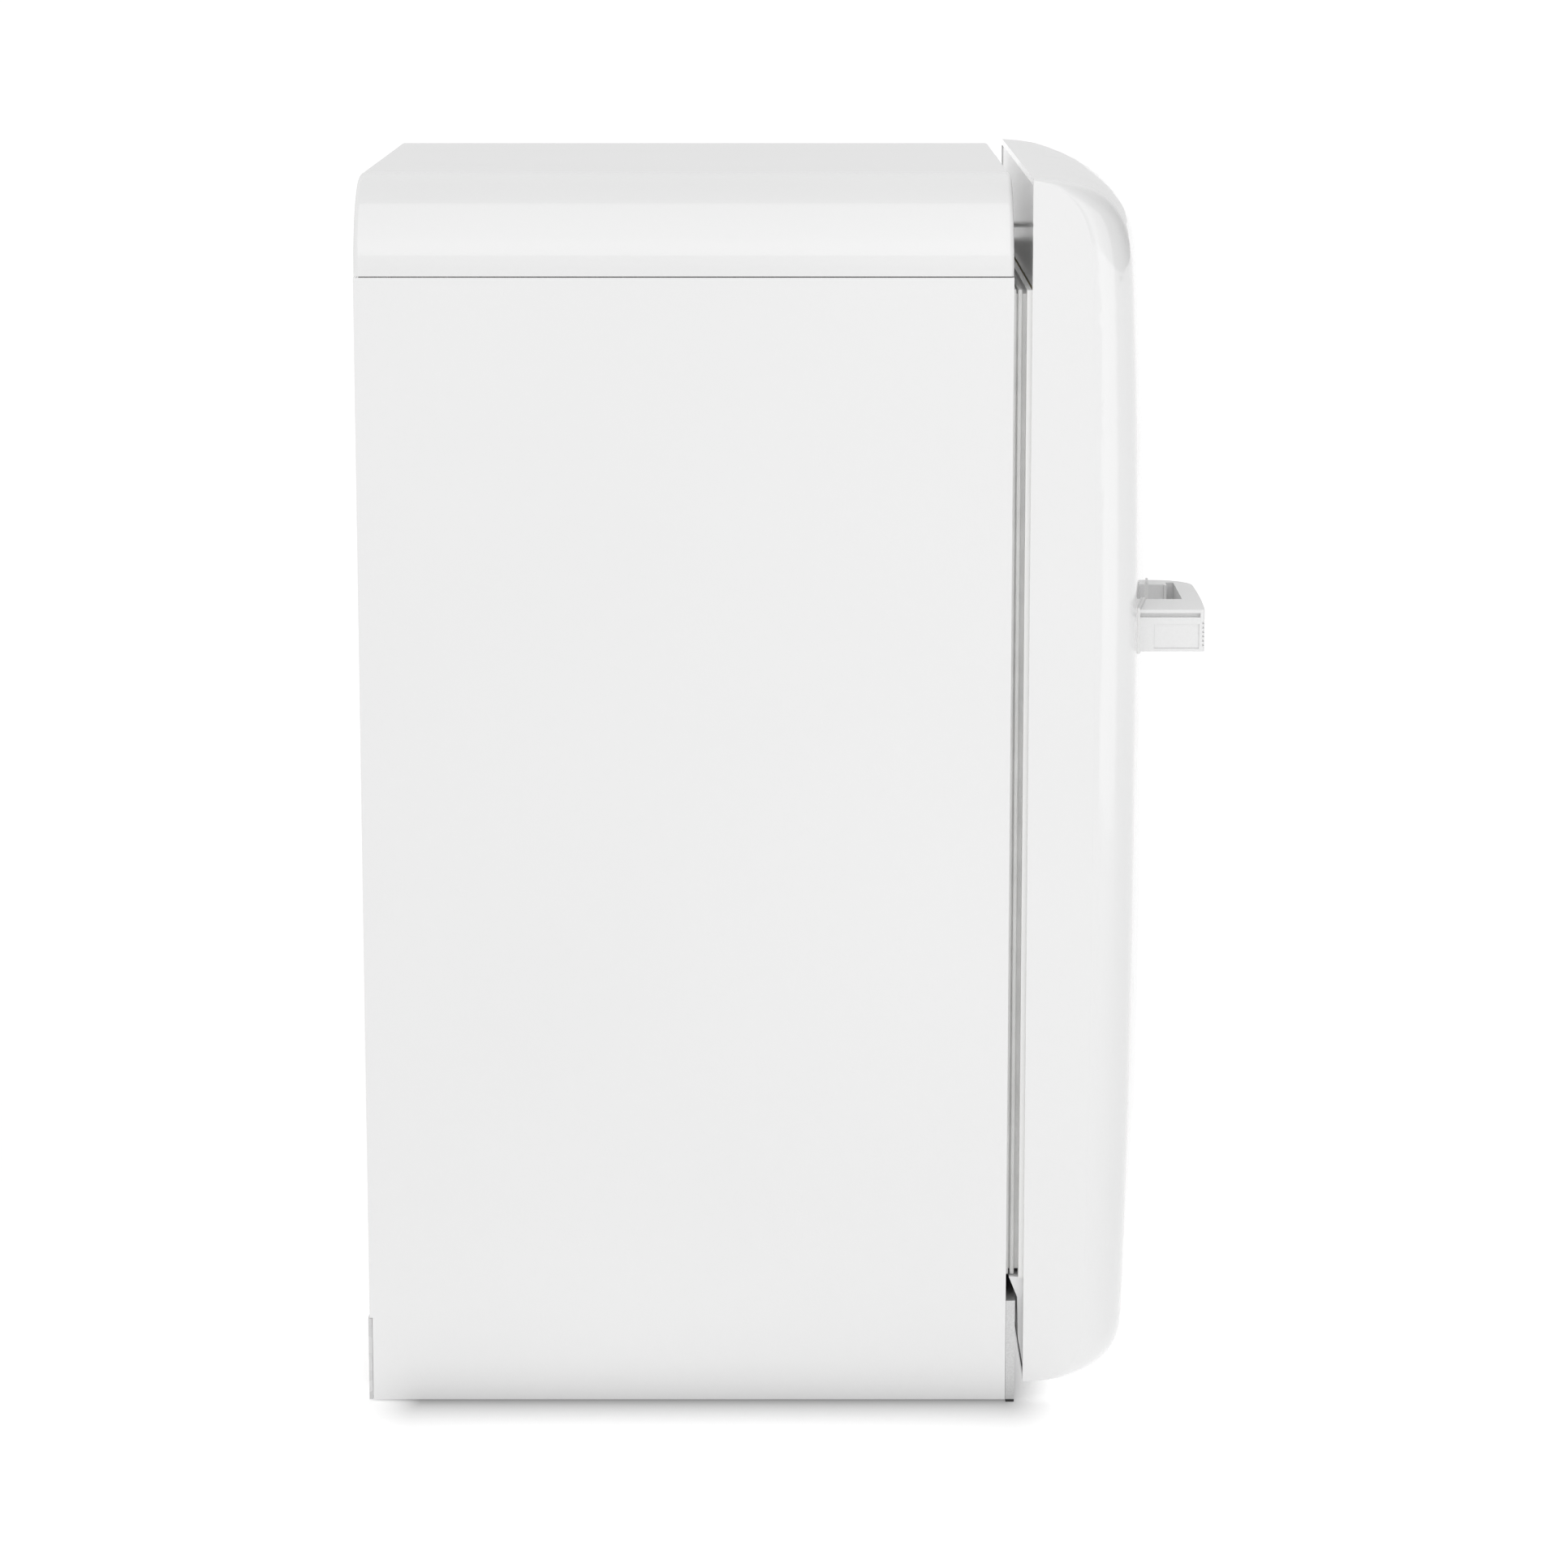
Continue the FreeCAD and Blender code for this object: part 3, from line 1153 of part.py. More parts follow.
def handle_outline():
    """The handle's block before it is cut to the door's surface; its front is slightly bowed."""
    side_y = OVERALL_FRONT_Y + HANDLE_BOW
    near = V(HANDLE_NEAR_X, side_y, HANDLE_LOW_Z)
    far = V(HANDLE_FAR_X, side_y, HANDLE_LOW_Z)
    crown = V((HANDLE_NEAR_X + HANDLE_FAR_X) / 2, OVERALL_FRONT_Y, HANDLE_LOW_Z)
    rear_far = V(HANDLE_FAR_X, -240, HANDLE_LOW_Z)
    rear_near = V(HANDLE_NEAR_X, -240, HANDLE_LOW_Z)
    edges = [Part.Arc(near, crown, far).toShape(), Part.makeLine(far, rear_far),
             Part.makeLine(rear_far, rear_near), Part.makeLine(rear_near, near)]
    block = Part.Face(Part.Wire(edges)).extrude(V(0, 0, HANDLE_HIGH_Z - HANDLE_LOW_Z))
    corner = edges_along(block, Z_AXIS, lambda p: p.x > HANDLE_FAR_X - 1 and p.y < -300)
    block = block.makeFillet(HANDLE_FAR_R, corner)
    corner = edges_along(block, Z_AXIS, lambda p: p.x < HANDLE_NEAR_X + 1 and p.y < -300)
    return block.makeFillet(2.5, corner)


def handle_end_face(inset, y_inset):
    """The Y and Z limits of the framed cover in the outer end, drawn in by small amounts."""
    return (OVERALL_FRONT_Y + 6 + y_inset, -289 - y_inset, HANDLE_LOW_Z + 2.5 + inset,
            HANDLE_HIGH_Z - 11.5 - inset)


def handle_bar(bodies):
    """The horizontal grip: a finger gap, fine ribs in front and a groove under its top."""
    gap = box(GRIP_NEAR_X, GRIP_FAR_X, GRIP_FRONT_Y, -240, HANDLE_LOW_Z - 1, HANDLE_HIGH_Z + 1)
    corner = box(GRIP_FAR_X - 1, GRIP_FAR_X + 12, GRIP_FRONT_Y, GRIP_CORNER_Y, HANDLE_LOW_Z - 1,
                 HANDLE_HIGH_Z + 1)
    groove = box(HANDLE_NEAR_X - 1, HANDLE_NEAR_X + 3.5, OVERALL_FRONT_Y + 5, -240,
                 HANDLE_HIGH_Z - 6, HANDLE_HIGH_Z - 2.6)
    seat = box(HANDLE_NEAR_X - 1, HANDLE_NEAR_X + HANDLE_CAP_T, *handle_end_face(0.0, 0.0))
    bar = handle_outline()
    for hollow in (gap, corner, groove, seat):
        bar = bar.cut(hollow)
    for k in range(HANDLE_RIBS):
        z = HANDLE_LOW_Z + 4.2 + HANDLE_RIB_PITCH * k
        bar = bar.cut(box(HANDLE_NEAR_X - 1, HANDLE_FAR_X - HANDLE_FAR_R, OVERALL_FRONT_Y - 1,
                          OVERALL_FRONT_Y + 3.4, z, z + 1.7))
    stop = box(GRIP_FAR_X - 3, GRIP_FAR_X + 1, GRIP_CORNER_Y, GRIP_CORNER_Y + 2, HANDLE_LOW_Z,
               HANDLE_HIGH_Z)
    return fuse([bar, stop]).cut(handle_clearance(bodies))


def handle_clearance(bodies):
    """The door plus the thickness of the pads under the handle."""
    door = bodies[0.0].copy()
    door.translate(V(0, -HANDLE_PLATE_T, 0))
    return door


def handle_pads(bodies):
    """Two thin pads between the handle's feet and the door skin."""
    pads = []
    for x0, x1 in ((HANDLE_NEAR_X - 1.5, GRIP_NEAR_X), (GRIP_FAR_X, HANDLE_FAR_X + 1.5)):
        block = box(x0, x1, OVERALL_FRONT_Y, -240, HANDLE_LOW_Z - 1.5, HANDLE_HIGH_Z + 1.5)
        block = block.common(handle_clearance(bodies)).cut(bodies[0.0])
        pads.append(block)
    return pads


def handle_end_cap():
    """The small framed cover in the handle's outer end."""
    return box(HANDLE_NEAR_X + 0.6, HANDLE_NEAR_X + HANDLE_CAP_T, *handle_end_face(0.1, 0.1))


def badge_plate(bodies):
    """A plain raised plate at the top of the door, with nothing on it."""
    half_x = 38.0
    raised = bodies[0.0].copy()
    raised.translate(V(0, -2.0, 0))
    plate = wide_box(half_x, OVERALL_FRONT_Y, -240, 790, 808)
    plate = plate.makeFillet(6, edges_along(plate, Y_AXIS, lambda p: True))
    return plate.common(raised).cut(bodies[0.0])


RACK_HALF_X = DYKE_INNER_X - 0.2
RACK_REAR_Y = PLUG_REAR_Y + 0.2
RACK_FRONT_Y = -97.0
RACK_WALL = 2.2
RACKS = {"lower": (136.0, 84.0), "middle": (430.0, 62.0), "upper": (690.0, 52.0)}


def door_rack(low_z, height):
    """One open tray that hangs between the ribs."""
    outer = wide_box(RACK_HALF_X, RACK_REAR_Y, RACK_FRONT_Y, low_z, low_z + height)
    outer = outer.makeFillet(10, edges_along(outer, Z_AXIS, lambda p: p.y > -120))
    inner = wide_box(RACK_HALF_X - RACK_WALL, RACK_REAR_Y + RACK_WALL, RACK_FRONT_Y - RACK_WALL,
                     low_z + RACK_WALL, low_z + height + 1)
    inner = inner.makeFillet(8, edges_along(inner, Z_AXIS, lambda p: p.y > -120))
    tray = outer.cut(inner)
    low_back = wide_box(RACK_HALF_X - 30, RACK_REAR_Y - 1, RACK_REAR_Y + RACK_WALL + 1,
                        low_z + 24, low_z + height + 1)
    return tray.cut(low_back)


def dairy_lid():
    """The flap over the upper rack: a roof, a front and two pivot pins."""
    half = DYKE_INNER_X - 4.0
    roof = wide_box(half, LID_AXIS_Y - 2, RACK_FRONT_Y - 2, LID_AXIS_Z + 2, LID_AXIS_Z + 4.2)
    front = wide_box(half, RACK_FRONT_Y - 4.2, RACK_FRONT_Y - 2, LID_AXIS_Z - 54, LID_AXIS_Z + 4.2)
    barrel = rod(-half, LID_AXIS_Y, LID_AXIS_Z, X_AXIS, 3.6, 2 * half)
    pins = rod(-DYKE_INNER_X - 1.6, LID_AXIS_Y, LID_AXIS_Z, X_AXIS, LID_PIN_R,
               2 * (DYKE_INNER_X + 1.6))
    lip = wide_box(40, RACK_FRONT_Y - 2, RACK_FRONT_Y + 1.5, LID_AXIS_Z - 54, LID_AXIS_Z - 50)
    return fuse([roof, front, barrel, pins, lip])


def bottle_retainer():
    """The finger that slides along the lower rack's front wall."""
    low_z, height = RACKS["lower"]
    top = low_z + height
    y_in = RACK_FRONT_Y - RACK_WALL
    saddle = box(-7, 7, y_in - 3, RACK_FRONT_Y + 2.6, top - 16, top + 3)
    slot = box(-8, 8, y_in - 0.5, RACK_FRONT_Y + 0.5, top - 17, top + 0.5)
    finger = box(-1.5, 1.5, y_in - 48, y_in - 2.9, top - 14, top + 3)
    return fuse([saddle.cut(slot), finger])


# ---- write every node ---------------------------------------------------------------------
def main():
    os.makedirs("parts", exist_ok=True)
    right = side_panel()
    export("side_panel_right", right)
    export("side_panel_left", mirror_x(right))
    export("top_cover", top_cover())
    export("front_rails", *front_rails())
    export("top_deck", top_deck())
    export("rear_panel", rear_panel())
    export("compartment_bulkhead", bulkhead())
    export("bottom_panel", bottom_panel())
    export("base_frame", base_frame())
    for name, (x, y) in FOOT_PLACES.items():
        export("foot_" + name, levelling_foot(x, y))
    export("plinth", plinth())
    export("plinth_seal", plinth_seal())
    export("inner_liner", inner_liner())
    export("cabinet_foam", cabinet_foam())
    export("drain_channel_and_tube", drip_channel(), drain_tube())
    export("evaporator_plate", evaporator_plate())
    export("shelf_glass", *[shelf_glass(z) for z in SHELF_LEVELS_Z])
    export("shelf_trims", *[trim for z in SHELF_LEVELS_Z for trim in shelf_trims(z)])
    export("crisper_cover_glass", wide_box(224, SHELF_FRONT_Y, 236, CRISPER_COVER_Z,
                                           CRISPER_COVER_Z + 4))
    export("crisper_drawer", crisper_drawer())
    export("control_housing", control_housing())
    export("lamp_lens", lamp_lens())
    export("lamp_board", lamp_board())
    export("thermostat_body", thermostat_body())
    export("thermostat_dial", thermostat_dial())
    export("door_switch_body", door_switch_body())
    export("door_switch_plunger", door_switch_plunger())
    export("compressor", compressor())
    export("compressor_grommets", *compressor_grommets())
    export("compressor_plate", compressor_plate())
    export("start_relay_box", start_relay_box())
    export("drain_tray", drain_tray())
    export("condenser_tube", condenser_tube())
    export("condenser_wires", *condenser_wires())
    export("condenser_brackets", *condenser_brackets())
    export("filter_drier", filter_drier())
    export("refrigerant_lines", discharge_line(), suction_line(), drier_feed(), capillary())
    export("mains_inlet", mains_inlet())
    upper_bracket, upper_pin = upper_hinge()
    lower_bracket, lower_pin = lower_hinge()
    export("upper_hinge_bracket", upper_bracket)
    export("lower_hinge_bracket", lower_bracket)
    export("hinge_pins", upper_pin, lower_pin)
    export("screws_and_bolts", *hinge_screws(), *compressor_bolts())
    bodies = door_bodies()
    export("door_shell", door_shell(bodies))
    export("door_end_caps", door_cap(bodies, CORE_HIGH_Z + 0.3, OVERALL_HEIGHT, 0),
           lower_cap(bodies))
    export("door_inner_panel", door_inner_panel())
    export("door_foam", door_foam(bodies))
    export("hinge_bushes", *hinge_bushes())
    export("door_gasket", door_gasket())
    export("handle_bar", handle_bar(bodies))
    export("handle_pads", *handle_pads(bodies))
    export("handle_end_cap", handle_end_cap())
    export("badge_plate", badge_plate(bodies))
    for name, (low_z, height) in RACKS.items():
        export("door_rack_" + name, door_rack(low_z, height))
    export("dairy_lid", dairy_lid())
    export("bottle_retainer", bottle_retainer())


main()
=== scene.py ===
"""Looks for the compact refrigerator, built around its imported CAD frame."""

import json
import math

import bpy
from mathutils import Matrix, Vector

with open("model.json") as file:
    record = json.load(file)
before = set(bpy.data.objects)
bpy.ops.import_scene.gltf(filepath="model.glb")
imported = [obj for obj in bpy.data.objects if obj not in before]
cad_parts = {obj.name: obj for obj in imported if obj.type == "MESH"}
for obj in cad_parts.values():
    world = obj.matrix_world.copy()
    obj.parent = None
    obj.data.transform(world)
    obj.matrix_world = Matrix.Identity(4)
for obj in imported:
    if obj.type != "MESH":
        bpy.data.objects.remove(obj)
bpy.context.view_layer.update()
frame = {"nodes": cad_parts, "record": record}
NODES = frame["nodes"]
SCENE = bpy.context.scene

# ---- camera -------------------------------------------------------------------------------
# It stands to the left of the cabinet, above the worktop, and looks slightly down.
CAMERA_PLACE = (-3.8955, 0.0, 1.2066)
CAMERA_PITCH = 10.253
CAMERA_LENS = 109.0
CAMERA_SHIFT = -0.04
SENSOR_WIDTH = 36.0
FARTHEST_SEEN = 200.0


def make_camera():
    data = bpy.data.cameras.new("camera")
    data.lens = CAMERA_LENS
    data.sensor_width = SENSOR_WIDTH
    data.shift_y = CAMERA_SHIFT
    data.clip_end = FARTHEST_SEEN
    camera = bpy.data.objects.new("camera", data)
    camera.location = CAMERA_PLACE
    camera.rotation_euler = (math.radians(90.0 - CAMERA_PITCH), 0.0, math.radians(-90.0))
    SCENE.collection.objects.link(camera)
    SCENE.camera = camera


# ---- node helpers -------------------------------------------------------------------------
class Shader:
    """A material under construction: its node tree, its main shader and short ways to add nodes."""

    def __init__(self, name):
        self.material = bpy.data.materials.new(name)
        self.material.use_nodes = True
        self.tree = self.material.node_tree
        self.main = self.tree.nodes["Principled BSDF"]
        self.place = self.tree.nodes.new("ShaderNodeTexCoord").outputs["Object"]

    def set(self, **values):
        for name, value in values.items():
            self.main.inputs[name.replace("_", " ")].default_value = value
        return self

    def join(self, output, target):
        self.tree.links.new(output, self.main.inputs[target])

    def stretched(self, scale):
        """The place with each axis scaled, for a grain with a direction."""
        node = self.tree.nodes.new("ShaderNodeMapping")
        node.inputs["Scale"].default_value = scale
        self.tree.links.new(self.place, node.inputs["Vector"])
        return node.outputs["Vector"]

    def noise(self, scale, detail=2.0, rough=0.5, place=None):
        node = self.tree.nodes.new("ShaderNodeTexNoise")
        node.inputs["Scale"].default_value = scale
        node.inputs["Detail"].default_value = detail
        node.inputs["Roughness"].default_value = rough
        self.tree.links.new(place or self.place, node.inputs["Vector"])
        return node.outputs["Fac"]

    def cells(self, scale, feature="F1", output="Distance"):
        node = self.tree.nodes.new("ShaderNodeTexVoronoi")
        node.feature = feature
        node.inputs["Scale"].default_value = scale
        self.tree.links.new(self.place, node.inputs["Vector"])
        return node.outputs[output]

    def ramp(self, value, low, high, start=0.3, end=0.7):
        """A value turned into a colour or grey between two ends."""
        node = self.tree.nodes.new("ShaderNodeValToRGB")
        first, last = node.color_ramp.elements[0], node.color_ramp.elements[1]
        first.position, last.position = start, end
        first.color = as_colour(low)
        last.color = as_colour(high)
        self.tree.links.new(value, node.inputs["Fac"])
        return node.outputs["Color"]

    def span(self, value, low, high, start=0.3, end=0.7):
        """A value turned into a number between two ends."""
        node = self.tree.nodes.new("ShaderNodeMapRange")
        node.inputs["From Min"].default_value = start
        node.inputs["From Max"].default_value = end
        node.inputs["To Min"].default_value = low
        node.inputs["To Max"].default_value = high
        self.tree.links.new(value, node.inputs["Value"])
        return node.outputs["Result"]

    def mix(self, factor, first, second):
        """Two colours mixed by a value."""
        node = self.tree.nodes.new("ShaderNodeMix")
        node.data_type = "RGBA"
        self.tree.links.new(factor, node.inputs["Factor"])
        for value, socket in ((first, node.inputs[6]), (second, node.inputs[7])):
            if isinstance(value, bpy.types.NodeSocket):
                self.tree.links.new(value, socket)
            else:
                socket.default_value = as_colour(value)
        return node.outputs[2]

    def openness(self, reach):
        """How little stands near a place, within a reach in metres: 1 in the open."""
        node = self.tree.nodes.new("ShaderNodeAmbientOcclusion")
        node.inputs["Distance"].default_value = reach
        return node.outputs["AO"]

    def maths(self, operation, first, second):
        return self.chain("ShaderNodeMath", operation, first, second).outputs[0]

    def vector(self, operation, first, second=None):
        return self.chain("ShaderNodeVectorMath", operation, first, second)

    def chain(self, kind, operation, first, second):
        """A node of two inputs; the second may be a socket, a constant or nothing."""
        node = self.tree.nodes.new(kind)
        node.operation = operation
        self.tree.links.new(first, node.inputs[0])
        if isinstance(second, bpy.types.NodeSocket):
            self.tree.links.new(second, node.inputs[1])
        elif second is not None:
            node.inputs[1].default_value = second
        return node

    def distance_from(self, low, high, weights):
        """How far a place lies outside a box, in metres, each direction with its own weight."""
        middle = [(a + b) / 2 for a, b in zip(low, high)]
        half = [(b - a) / 2 for a, b in zip(low, high)]
        offset = self.vector("SUBTRACT", self.place, middle).outputs["Vector"]
        folded = self.vector("ABSOLUTE", offset).outputs["Vector"]
        beyond = self.vector("SUBTRACT", folded, half).outputs["Vector"]
        outside = self.vector("MAXIMUM", beyond, (0.0, 0.0, 0.0)).outputs["Vector"]
        weighed = self.vector("MULTIPLY", outside, weights).outputs["Vector"]
        return self.vector("LENGTH", weighed).outputs["Value"]

    def bump(self, height, distance):
        """Adds relief of a given depth in metres on top of any relief already there."""
        node = self.tree.nodes.new("ShaderNodeBump")
        node.inputs["Distance"].default_value = distance
        node.inputs["Strength"].default_value = 1.0
        self.tree.links.new(height, node.inputs["Height"])
        before = self.main.inputs["Normal"]
        if before.is_linked:
            self.tree.links.new(before.links[0].from_socket, node.inputs["Normal"])
        self.tree.links.new(node.outputs["Normal"], before)


def as_colour(value):
    if isinstance(value, (int, float)):
        return (value, value, value, 1.0)
    return (*value, 1.0)


# ---- materials ----------------------------------------------------------------------------
def enamel(name, colour):
    """Baked gloss enamel on steel: faint drift in tone, and the fine ripple of sprayed paint."""
    s = Shader(name)
    darker = [c * 0.985 for c in colour]
    s.join(s.ramp(s.noise(3.0, 3.0), darker, colour), "Base Color")
    s.join(s.span(s.noise(9.0, 4.0), 0.20, 0.26), "Roughness")
    s.set(IOR=1.5, Coat_Weight=1.0, Coat_Roughness=0.04, Coat_IOR=1.8)
    s.bump(s.noise(420.0, 2.0), 0.00006)
    s.bump(s.noise(60.0, 1.0), 0.00010)
    return s.material


def moulded(name, colour, rough=(0.32, 0.42)):
    """Injection-moulded plastic with a fine spark-eroded grain and slight tone drift."""
    s = Shader(name)
    darker = [c * 0.965 for c in colour]
    s.join(s.ramp(s.noise(7.0, 3.0), darker, colour), "Base Color")
    s.join(s.span(s.noise(30.0, 3.0), *rough), "Roughness")
    s.set(IOR=1.49)
    s.bump(s.noise(1400.0, 3.0, 0.6), 0.00003)
    return s.material


def door_cap_plastic(name):
    """The pale grey moulding round the door: a soft sheen with a faint grain."""
    s = Shader(name)
    s.join(s.ramp(s.noise(7.0, 3.0), 0.86, 0.90), "Base Color")
    s.join(s.span(s.noise(30.0, 3.0), 0.285, 0.33), "Roughness")
    s.set(IOR=1.5, Coat_Weight=0.8, Coat_Roughness=0.16, Coat_IOR=1.7)
    s.bump(s.noise(1400.0, 3.0, 0.6), 0.000002)
    return s.material


def vacuum_formed(name, colour):
    """The liner's sheet: a soft sheen with the low waves that forming leaves."""
    s = Shader(name)
    darker = [c * 0.975 for c in colour]
    s.join(s.ramp(s.noise(4.0, 3.0), darker, colour), "Base Color")
    s.join(s.span(s.noise(12.0, 3.0), 0.28, 0.36), "Roughness")
    s.set(IOR=1.5)
    s.bump(s.noise(16.0, 1.0), 0.0006)
    s.bump(s.noise(1500.0, 2.0), 0.00002)
    return s.material


def galvanised(name):
    """Hot-dip zinc with its spangle of crystals."""
    s = Shader(name)
    crystal = s.cells(90.0, output="Color")
    s.join(s.mix(s.noise(5.0, 3.0), s.ramp(crystal, 0.52, 0.70, 0.1, 0.9), 0.62), "Base Color")
    s.join(s.ramp(crystal, 0.30, 0.46, 0.0, 1.0), "Roughness")
    s.set(Metallic=1.0)
    s.bump(s.cells(90.0), 0.00002)
    return s.material


def plated_steel(name, colour):
    """Bright zinc plate with fine drawing marks."""
    s = Shader(name)
    marks = s.noise(60.0, 4.0, 0.6, s.stretched((1.0, 14.0, 1.0)))
    s.join(s.ramp(marks, [c * 0.88 for c in colour], colour), "Base Color")
    s.join(s.span(marks, 0.29, 0.42), "Roughness")
    s.set(Metallic=1.0)
    s.bump(marks, 0.00002)
    return s.material


def silver_paint(name):
    """Aluminium-flake paint: tiny flakes that catch the light one by one."""
    s = Shader(name)
    flake = s.cells(1600.0, output="Color")
    s.join(s.mix(s.noise(5.0, 2.0), s.ramp(flake, 0.50, 0.66, 0.1, 0.9), 0.60), "Base Color")
    s.join(s.ramp(flake, 0.32, 0.42, 0.0, 1.0), "Roughness")
    s.set(Metallic=0.65, Coat_Weight=0.35, Coat_Roughness=0.12)
    s.bump(s.noise(600.0, 2.0), 0.00003)
    return s.material


def satin_metal_plastic(name, colour):
    """The grip's satin finish: very faint brush lines along it under a clear coat."""
    s = Shader(name)
    lines = s.noise(40.0, 4.0, 0.6, s.stretched((1.0, 12.0, 12.0)))
    s.join(s.ramp(lines, [c * 0.97 for c in colour], colour), "Base Color")
    s.join(s.span(lines, 0.29, 0.34), "Roughness")
    s.set(Coat_Weight=0.5, Coat_Roughness=0.12)
    s.bump(lines, 0.000003)
    return s.material


def black_enamel(name):
    """Dipped black paint, a little lumpy, with dust-grey drift."""
    s = Shader(name)
    s.join(s.ramp(s.noise(22.0, 5.0), 0.012, 0.035), "Base Color")
    s.join(s.span(s.noise(35.0, 4.0), 0.28, 0.5), "Roughness")
    s.bump(s.noise(140.0, 2.0), 0.00012)
    return s.material


def rubber(name, colour):
    """Soft rubber or vinyl with a fine skin texture."""
    s = Shader(name)
    s.join(s.ramp(s.noise(40.0, 4.0), [c * 0.9 for c in colour], colour), "Base Color")
    s.join(s.span(s.noise(120.0, 3.0), 0.55, 0.72), "Roughness")
    s.set(IOR=1.5, Sheen_Weight=0.08, Sheen_Roughness=0.5)
    s.bump(s.noise(2200.0, 2.0), 0.00003)
    return s.material


def foam(name):
    """Rigid polyurethane foam: cream, with closed cells."""
    s = Shader(name)
    cell = s.cells(700.0)
    s.join(s.ramp(cell, (0.66, 0.56, 0.33), (0.80, 0.71, 0.47), 0.1, 0.9), "Base Color")
    s.set(Roughness=0.9)
    s.bump(cell, 0.0004)
    return s.material


def toughened_glass(name):
    """Clear glass with a slight green body and faint wipe marks."""
    s = Shader(name)
    s.join(s.ramp(s.noise(3.0, 3.0), (0.86, 0.95, 0.91), (0.90, 0.97, 0.94)), "Base Color")
    s.join(s.span(s.noise(14.0, 5.0), 0.01, 0.05, 0.4, 0.8), "Roughness")
    s.set(IOR=1.5, Transmission_Weight=0.94)
    return s.material


def clear_plastic(name, colour=(0.90, 0.94, 0.96), rough=(0.04, 0.12), through=0.9):
    """Water-clear styrene with slight flow waves."""
    s = Shader(name)
    s.join(s.ramp(s.noise(6.0, 3.0), [c * 0.97 for c in colour], colour), "Base Color")
    s.join(s.span(s.noise(25.0, 4.0), *rough), "Roughness")
    s.set(IOR=1.46, Transmission_Weight=through)
    s.bump(s.noise(30.0, 1.0), 0.0001)
    return s.material


def circuit_board(name):
    """Green solder mask over tracks, with a grid of pads."""
    s = Shader(name)
    tracks = s.cells(240.0, "DISTANCE_TO_EDGE")
    s.join(s.ramp(tracks, (0.10, 0.34, 0.16), (0.03, 0.18, 0.08), 0.04, 0.10), "Base Color")
    s.set(Roughness=0.35, Coat_Weight=0.3)
    s.bump(tracks, 0.00005)
    return s.material


def aluminium_plate(name):
    """Rolled aluminium with its long rolling marks."""
    s = Shader(name)
    rolled = s.noise(30.0, 5.0, 0.6, s.stretched((1.0, 1.0, 0.06)))
    s.join(s.ramp(rolled, 0.62, 0.76), "Base Color")
    s.join(s.span(rolled, 0.30, 0.46), "Roughness")
    s.set(Metallic=0.9)
    s.bump(rolled, 0.00003)
    return s.material


def copper(name):
    """Drawn copper with brown heat tint drifting along it."""
    s = Shader(name)
    tint = s.noise(18.0, 5.0, 0.6)
    s.join(s.ramp(tint, (0.36, 0.16, 0.09), (0.86, 0.44, 0.27)), "Base Color")
    s.join(s.span(s.noise(60.0, 4.0), 0.29, 0.44), "Roughness")
    s.set(Metallic=1.0)
    s.bump(s.noise(200.0, 2.0), 0.00003)
    return s.material


WHITE = (0.80, 0.80, 0.80)
MATERIALS = {
    "white_enamel": enamel("white_enamel", WHITE),
    "galvanised": galvanised("galvanised"),
    "zinc_steel": plated_steel("zinc_steel", (0.70, 0.70, 0.68)),
    "silver_paint": silver_paint("silver_paint"),
    "black_paint": black_enamel("black_paint"),
    "liner_white": vacuum_formed("liner_white", (0.87, 0.87, 0.86)),
    "moulding_white": moulded("moulding_white", (0.86, 0.86, 0.855)),
    "handle_satin": satin_metal_plastic("handle_satin", WHITE),
    "badge_metal": satin_metal_plastic("badge_metal", WHITE),
    "grey_plastic": door_cap_plastic("grey_plastic"),
    "black_plastic": moulded("black_plastic", (0.025, 0.025, 0.025), (0.38, 0.55)),
    "bush_plastic": moulded("bush_plastic", (0.75, 0.75, 0.72)),
    "seal_white": rubber("seal_white", (0.90, 0.90, 0.89)),
    "seal_black": rubber("seal_black", (0.02, 0.02, 0.02)),
    "foam": foam("foam"),
    "shelf_glass": toughened_glass("shelf_glass"),
    "clear_plastic": clear_plastic("clear_plastic"),
    "lamp_lens": clear_plastic("lamp_lens", (0.95, 0.95, 0.92), (0.29, 0.38), 0.6),
    "board_green": circuit_board("board_green"),
    "cold_plate": aluminium_plate("cold_plate"),
    "copper": copper("copper"),
}


def dress_cad_nodes():
    """Gives every CAD node the material of its slot in the record."""
    for entry in frame["record"]["subparts"]:
        node = NODES[entry["node"]]
        for slot in node.material_slots:
            slot.material = MATERIALS[entry["material_slot"]]


# ---- studio -------------------------------------------------------------------------------
# World tones overhead and at the horizon, and what is taken off beyond the door.
ZENITH = 0.9
HORIZON = 0.78
BEYOND_DOOR = -0.5
# Where each world tone starts and ends, as parts of the direction's height and its Y.
RISE = (0.05, 0.6)
FORWARD = (-0.75, -0.25)

# Soft boxes: place, target, size in metres, and the radiance of the face.
SOFT_BOXES = {
    "overhead": ((-1.25, -0.1, 2.35), (-0.27, -0.1, 0.93), (1.9, 2.4), 0.45),
    "strip": ((-1.9, -1.9, 0.75), (-0.2, -0.25, 0.6), (1.8, 2.4), 0.54),
    "fill": ((-3.2, 0.4, 2.2), (-0.3, 0.1, 0.6), (2.4, 1.8), 0.1),
}

# The floor: half its width, and its glow near the middle and far from it, with both distances.
FLOOR_HALF = 60.0
FLOOR_GLOW_NEAR = 0.23
FLOOR_GLOW_FAR = 0.31
GLOW_DISTANCES = (0.5, 3.0)
# The painted contact shadow beside the base, darkened into the floor's colour and glow: metres, and
# the shape of its fall-off.
PAINTED_SHADOW_START = 0.008
PAINTED_SHADOW_REACH = 0.105
PAINTED_SHADOW_POWER = 0.42
PAINTED_SHADOW_FORE_AND_AFT = 1.7
PAINTED_SHADOW_REAR_INSET = 0.04
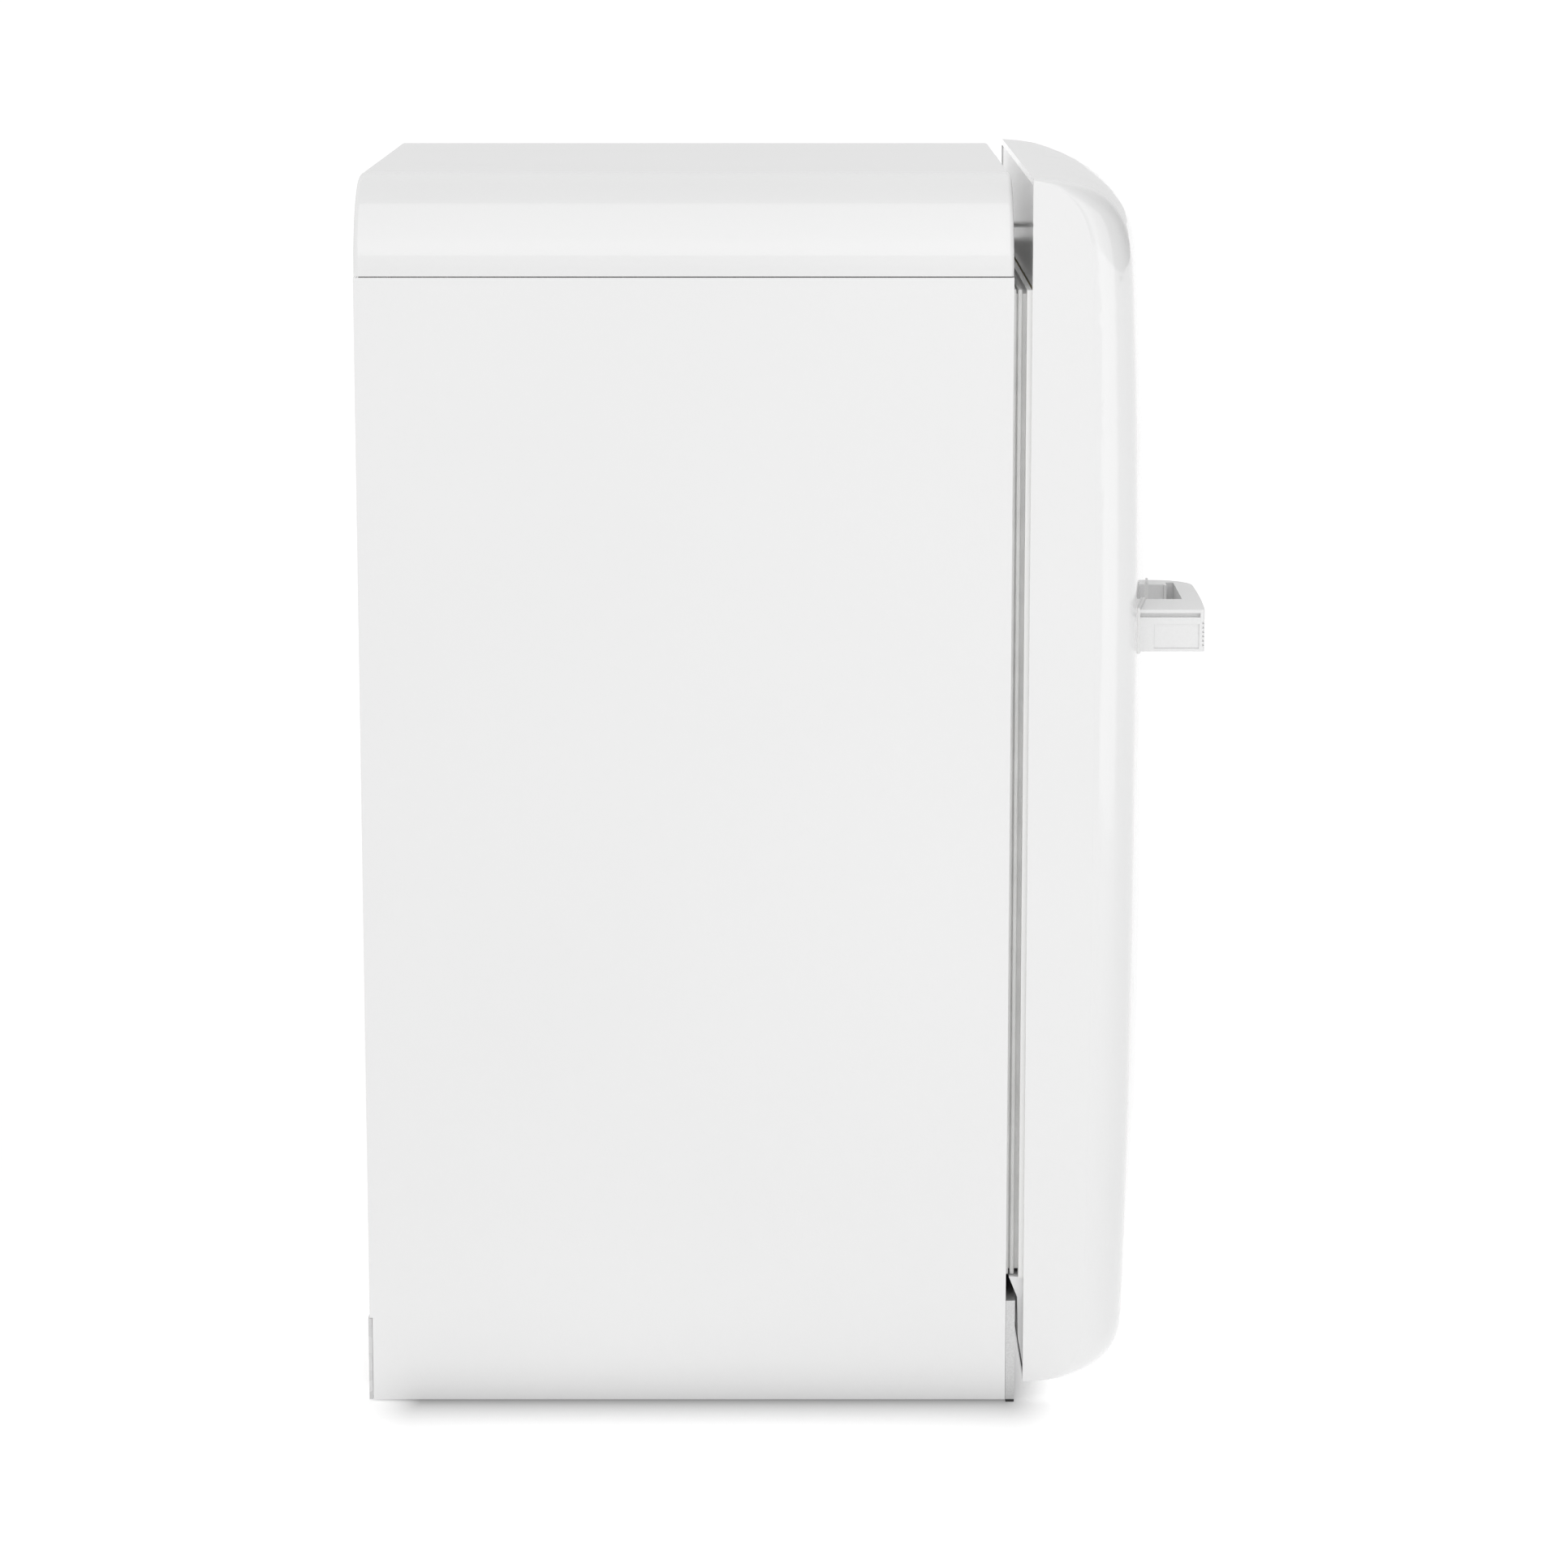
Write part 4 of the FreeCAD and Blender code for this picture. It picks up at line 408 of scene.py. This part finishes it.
# Extra glow where the product shades the floor, and how near it has to stand.
LIFT_REACH = 0.60
SHADOW_LIFT = 0.42


def pale_floor(name, base_low, base_high):
    """A matt white board that glows, with a painted contact shadow darkening its colour and glow
    beside the base and a painted glow lifting the soft shadows the product casts.
    """
    s = Shader(name)
    # Painted contact shadow: colour and glow fall to black at the cabinet's base and rise to full
    # away from it.
    away = s.distance_from(base_low, base_high, (1.0, PAINTED_SHADOW_FORE_AND_AFT, 1.0))
    beside = s.span(away, 0.0, 1.0, -PAINTED_SHADOW_START, PAINTED_SHADOW_REACH)
    clear = s.maths("POWER", beside, PAINTED_SHADOW_POWER)
    grain = s.ramp(s.noise(2.0, 4.0), 0.945, 0.955)
    s.join(s.mix(clear, (0.0, 0.0, 0.0), grain), "Base Color")
    from_middle = s.vector("LENGTH", s.place).outputs["Value"]
    far = s.span(from_middle, FLOOR_GLOW_NEAR, FLOOR_GLOW_FAR, *GLOW_DISTANCES)
    # Painted glow: extra glow where the product shades the floor, lifting its soft shadows.
    lift = s.span(s.openness(LIFT_REACH), SHADOW_LIFT, 0.0, 0.3, 1.0)
    s.join(s.maths("MULTIPLY", s.maths("ADD", far, lift), clear), "Emission Strength")
    s.set(Roughness=0.9, IOR=1.3, Emission_Color=(1.0, 1.0, 1.0, 1.0))
    return s.material


def painted_shadow_box():
    """The corners of the box that the two side panels stand in, a little short at the rear; the
    painted contact shadow on the floor fades out from it.
    """
    corners = [panel.matrix_world @ Vector(corner)
               for panel in (NODES["side_panel_left"], NODES["side_panel_right"])
               for corner in panel.bound_box]
    low, high = ([pick(axis) for axis in zip(*corners)] for pick in (min, max))
    high[1] -= PAINTED_SHADOW_REAR_INSET
    return low, high


def make_floor():
    """A lit white table, as product pictures use, so that its far parts stay white."""
    mesh = bpy.data.meshes.new("floor")
    corners = [(x * FLOOR_HALF, y * FLOOR_HALF, 0) for x, y in ((-1, -1), (1, -1), (1, 1), (-1, 1))]
    mesh.from_pydata(corners, [], [(0, 1, 2, 3)])
    floor = bpy.data.objects.new("floor", mesh)
    mesh.materials.append(pale_floor("pale_floor", *painted_shadow_box()))
    SCENE.collection.objects.link(floor)


def make_light(name, place, target, size, radiance):
    """A rectangular soft box whose face has the given radiance."""
    data = bpy.data.lights.new(name, "AREA")
    data.shape = "RECTANGLE"
    data.size, data.size_y = size
    data.energy = radiance * math.pi * size[0] * size[1]
    light = bpy.data.objects.new(name, data)
    light.location = place
    aim = Vector(target) - Vector(place)
    light.rotation_euler = aim.to_track_quat("-Z", "Y").to_euler()
    SCENE.collection.objects.link(light)


def make_world():
    """Soft surroundings: one tone at the horizon, another overhead, less beyond the door."""
    world = bpy.data.worlds.new("studio")
    world.use_nodes = True
    tree = world.node_tree
    direction = tree.nodes.new("ShaderNodeTexCoord").outputs["Generated"]
    split = tree.nodes.new("ShaderNodeSeparateXYZ")
    tree.links.new(direction, split.inputs[0])
    total = tree.nodes.new("ShaderNodeMath")
    total.operation = "ADD"
    for socket, (axis, low, high, start, end) in zip(total.inputs, (
            ("Z", HORIZON, ZENITH, *RISE), ("Y", BEYOND_DOOR, 0.0, *FORWARD))):
        span = tree.nodes.new("ShaderNodeMapRange")
        span.inputs["From Min"].default_value = start
        span.inputs["From Max"].default_value = end
        span.inputs["To Min"].default_value = low
        span.inputs["To Max"].default_value = high
        tree.links.new(split.outputs[axis], span.inputs["Value"])
        tree.links.new(span.outputs["Result"], socket)
    tree.links.new(total.outputs[0], tree.nodes["Background"].inputs["Strength"])
    tree.nodes["Background"].inputs["Color"].default_value = (1.0, 1.0, 1.0, 1.0)
    SCENE.world = world


def make_studio():
    make_floor()
    make_world()
    for name, settings in SOFT_BOXES.items():
        make_light(name, *settings)
    SCENE.view_settings.view_transform = "Standard"


make_camera()
dress_cad_nodes()
make_studio()
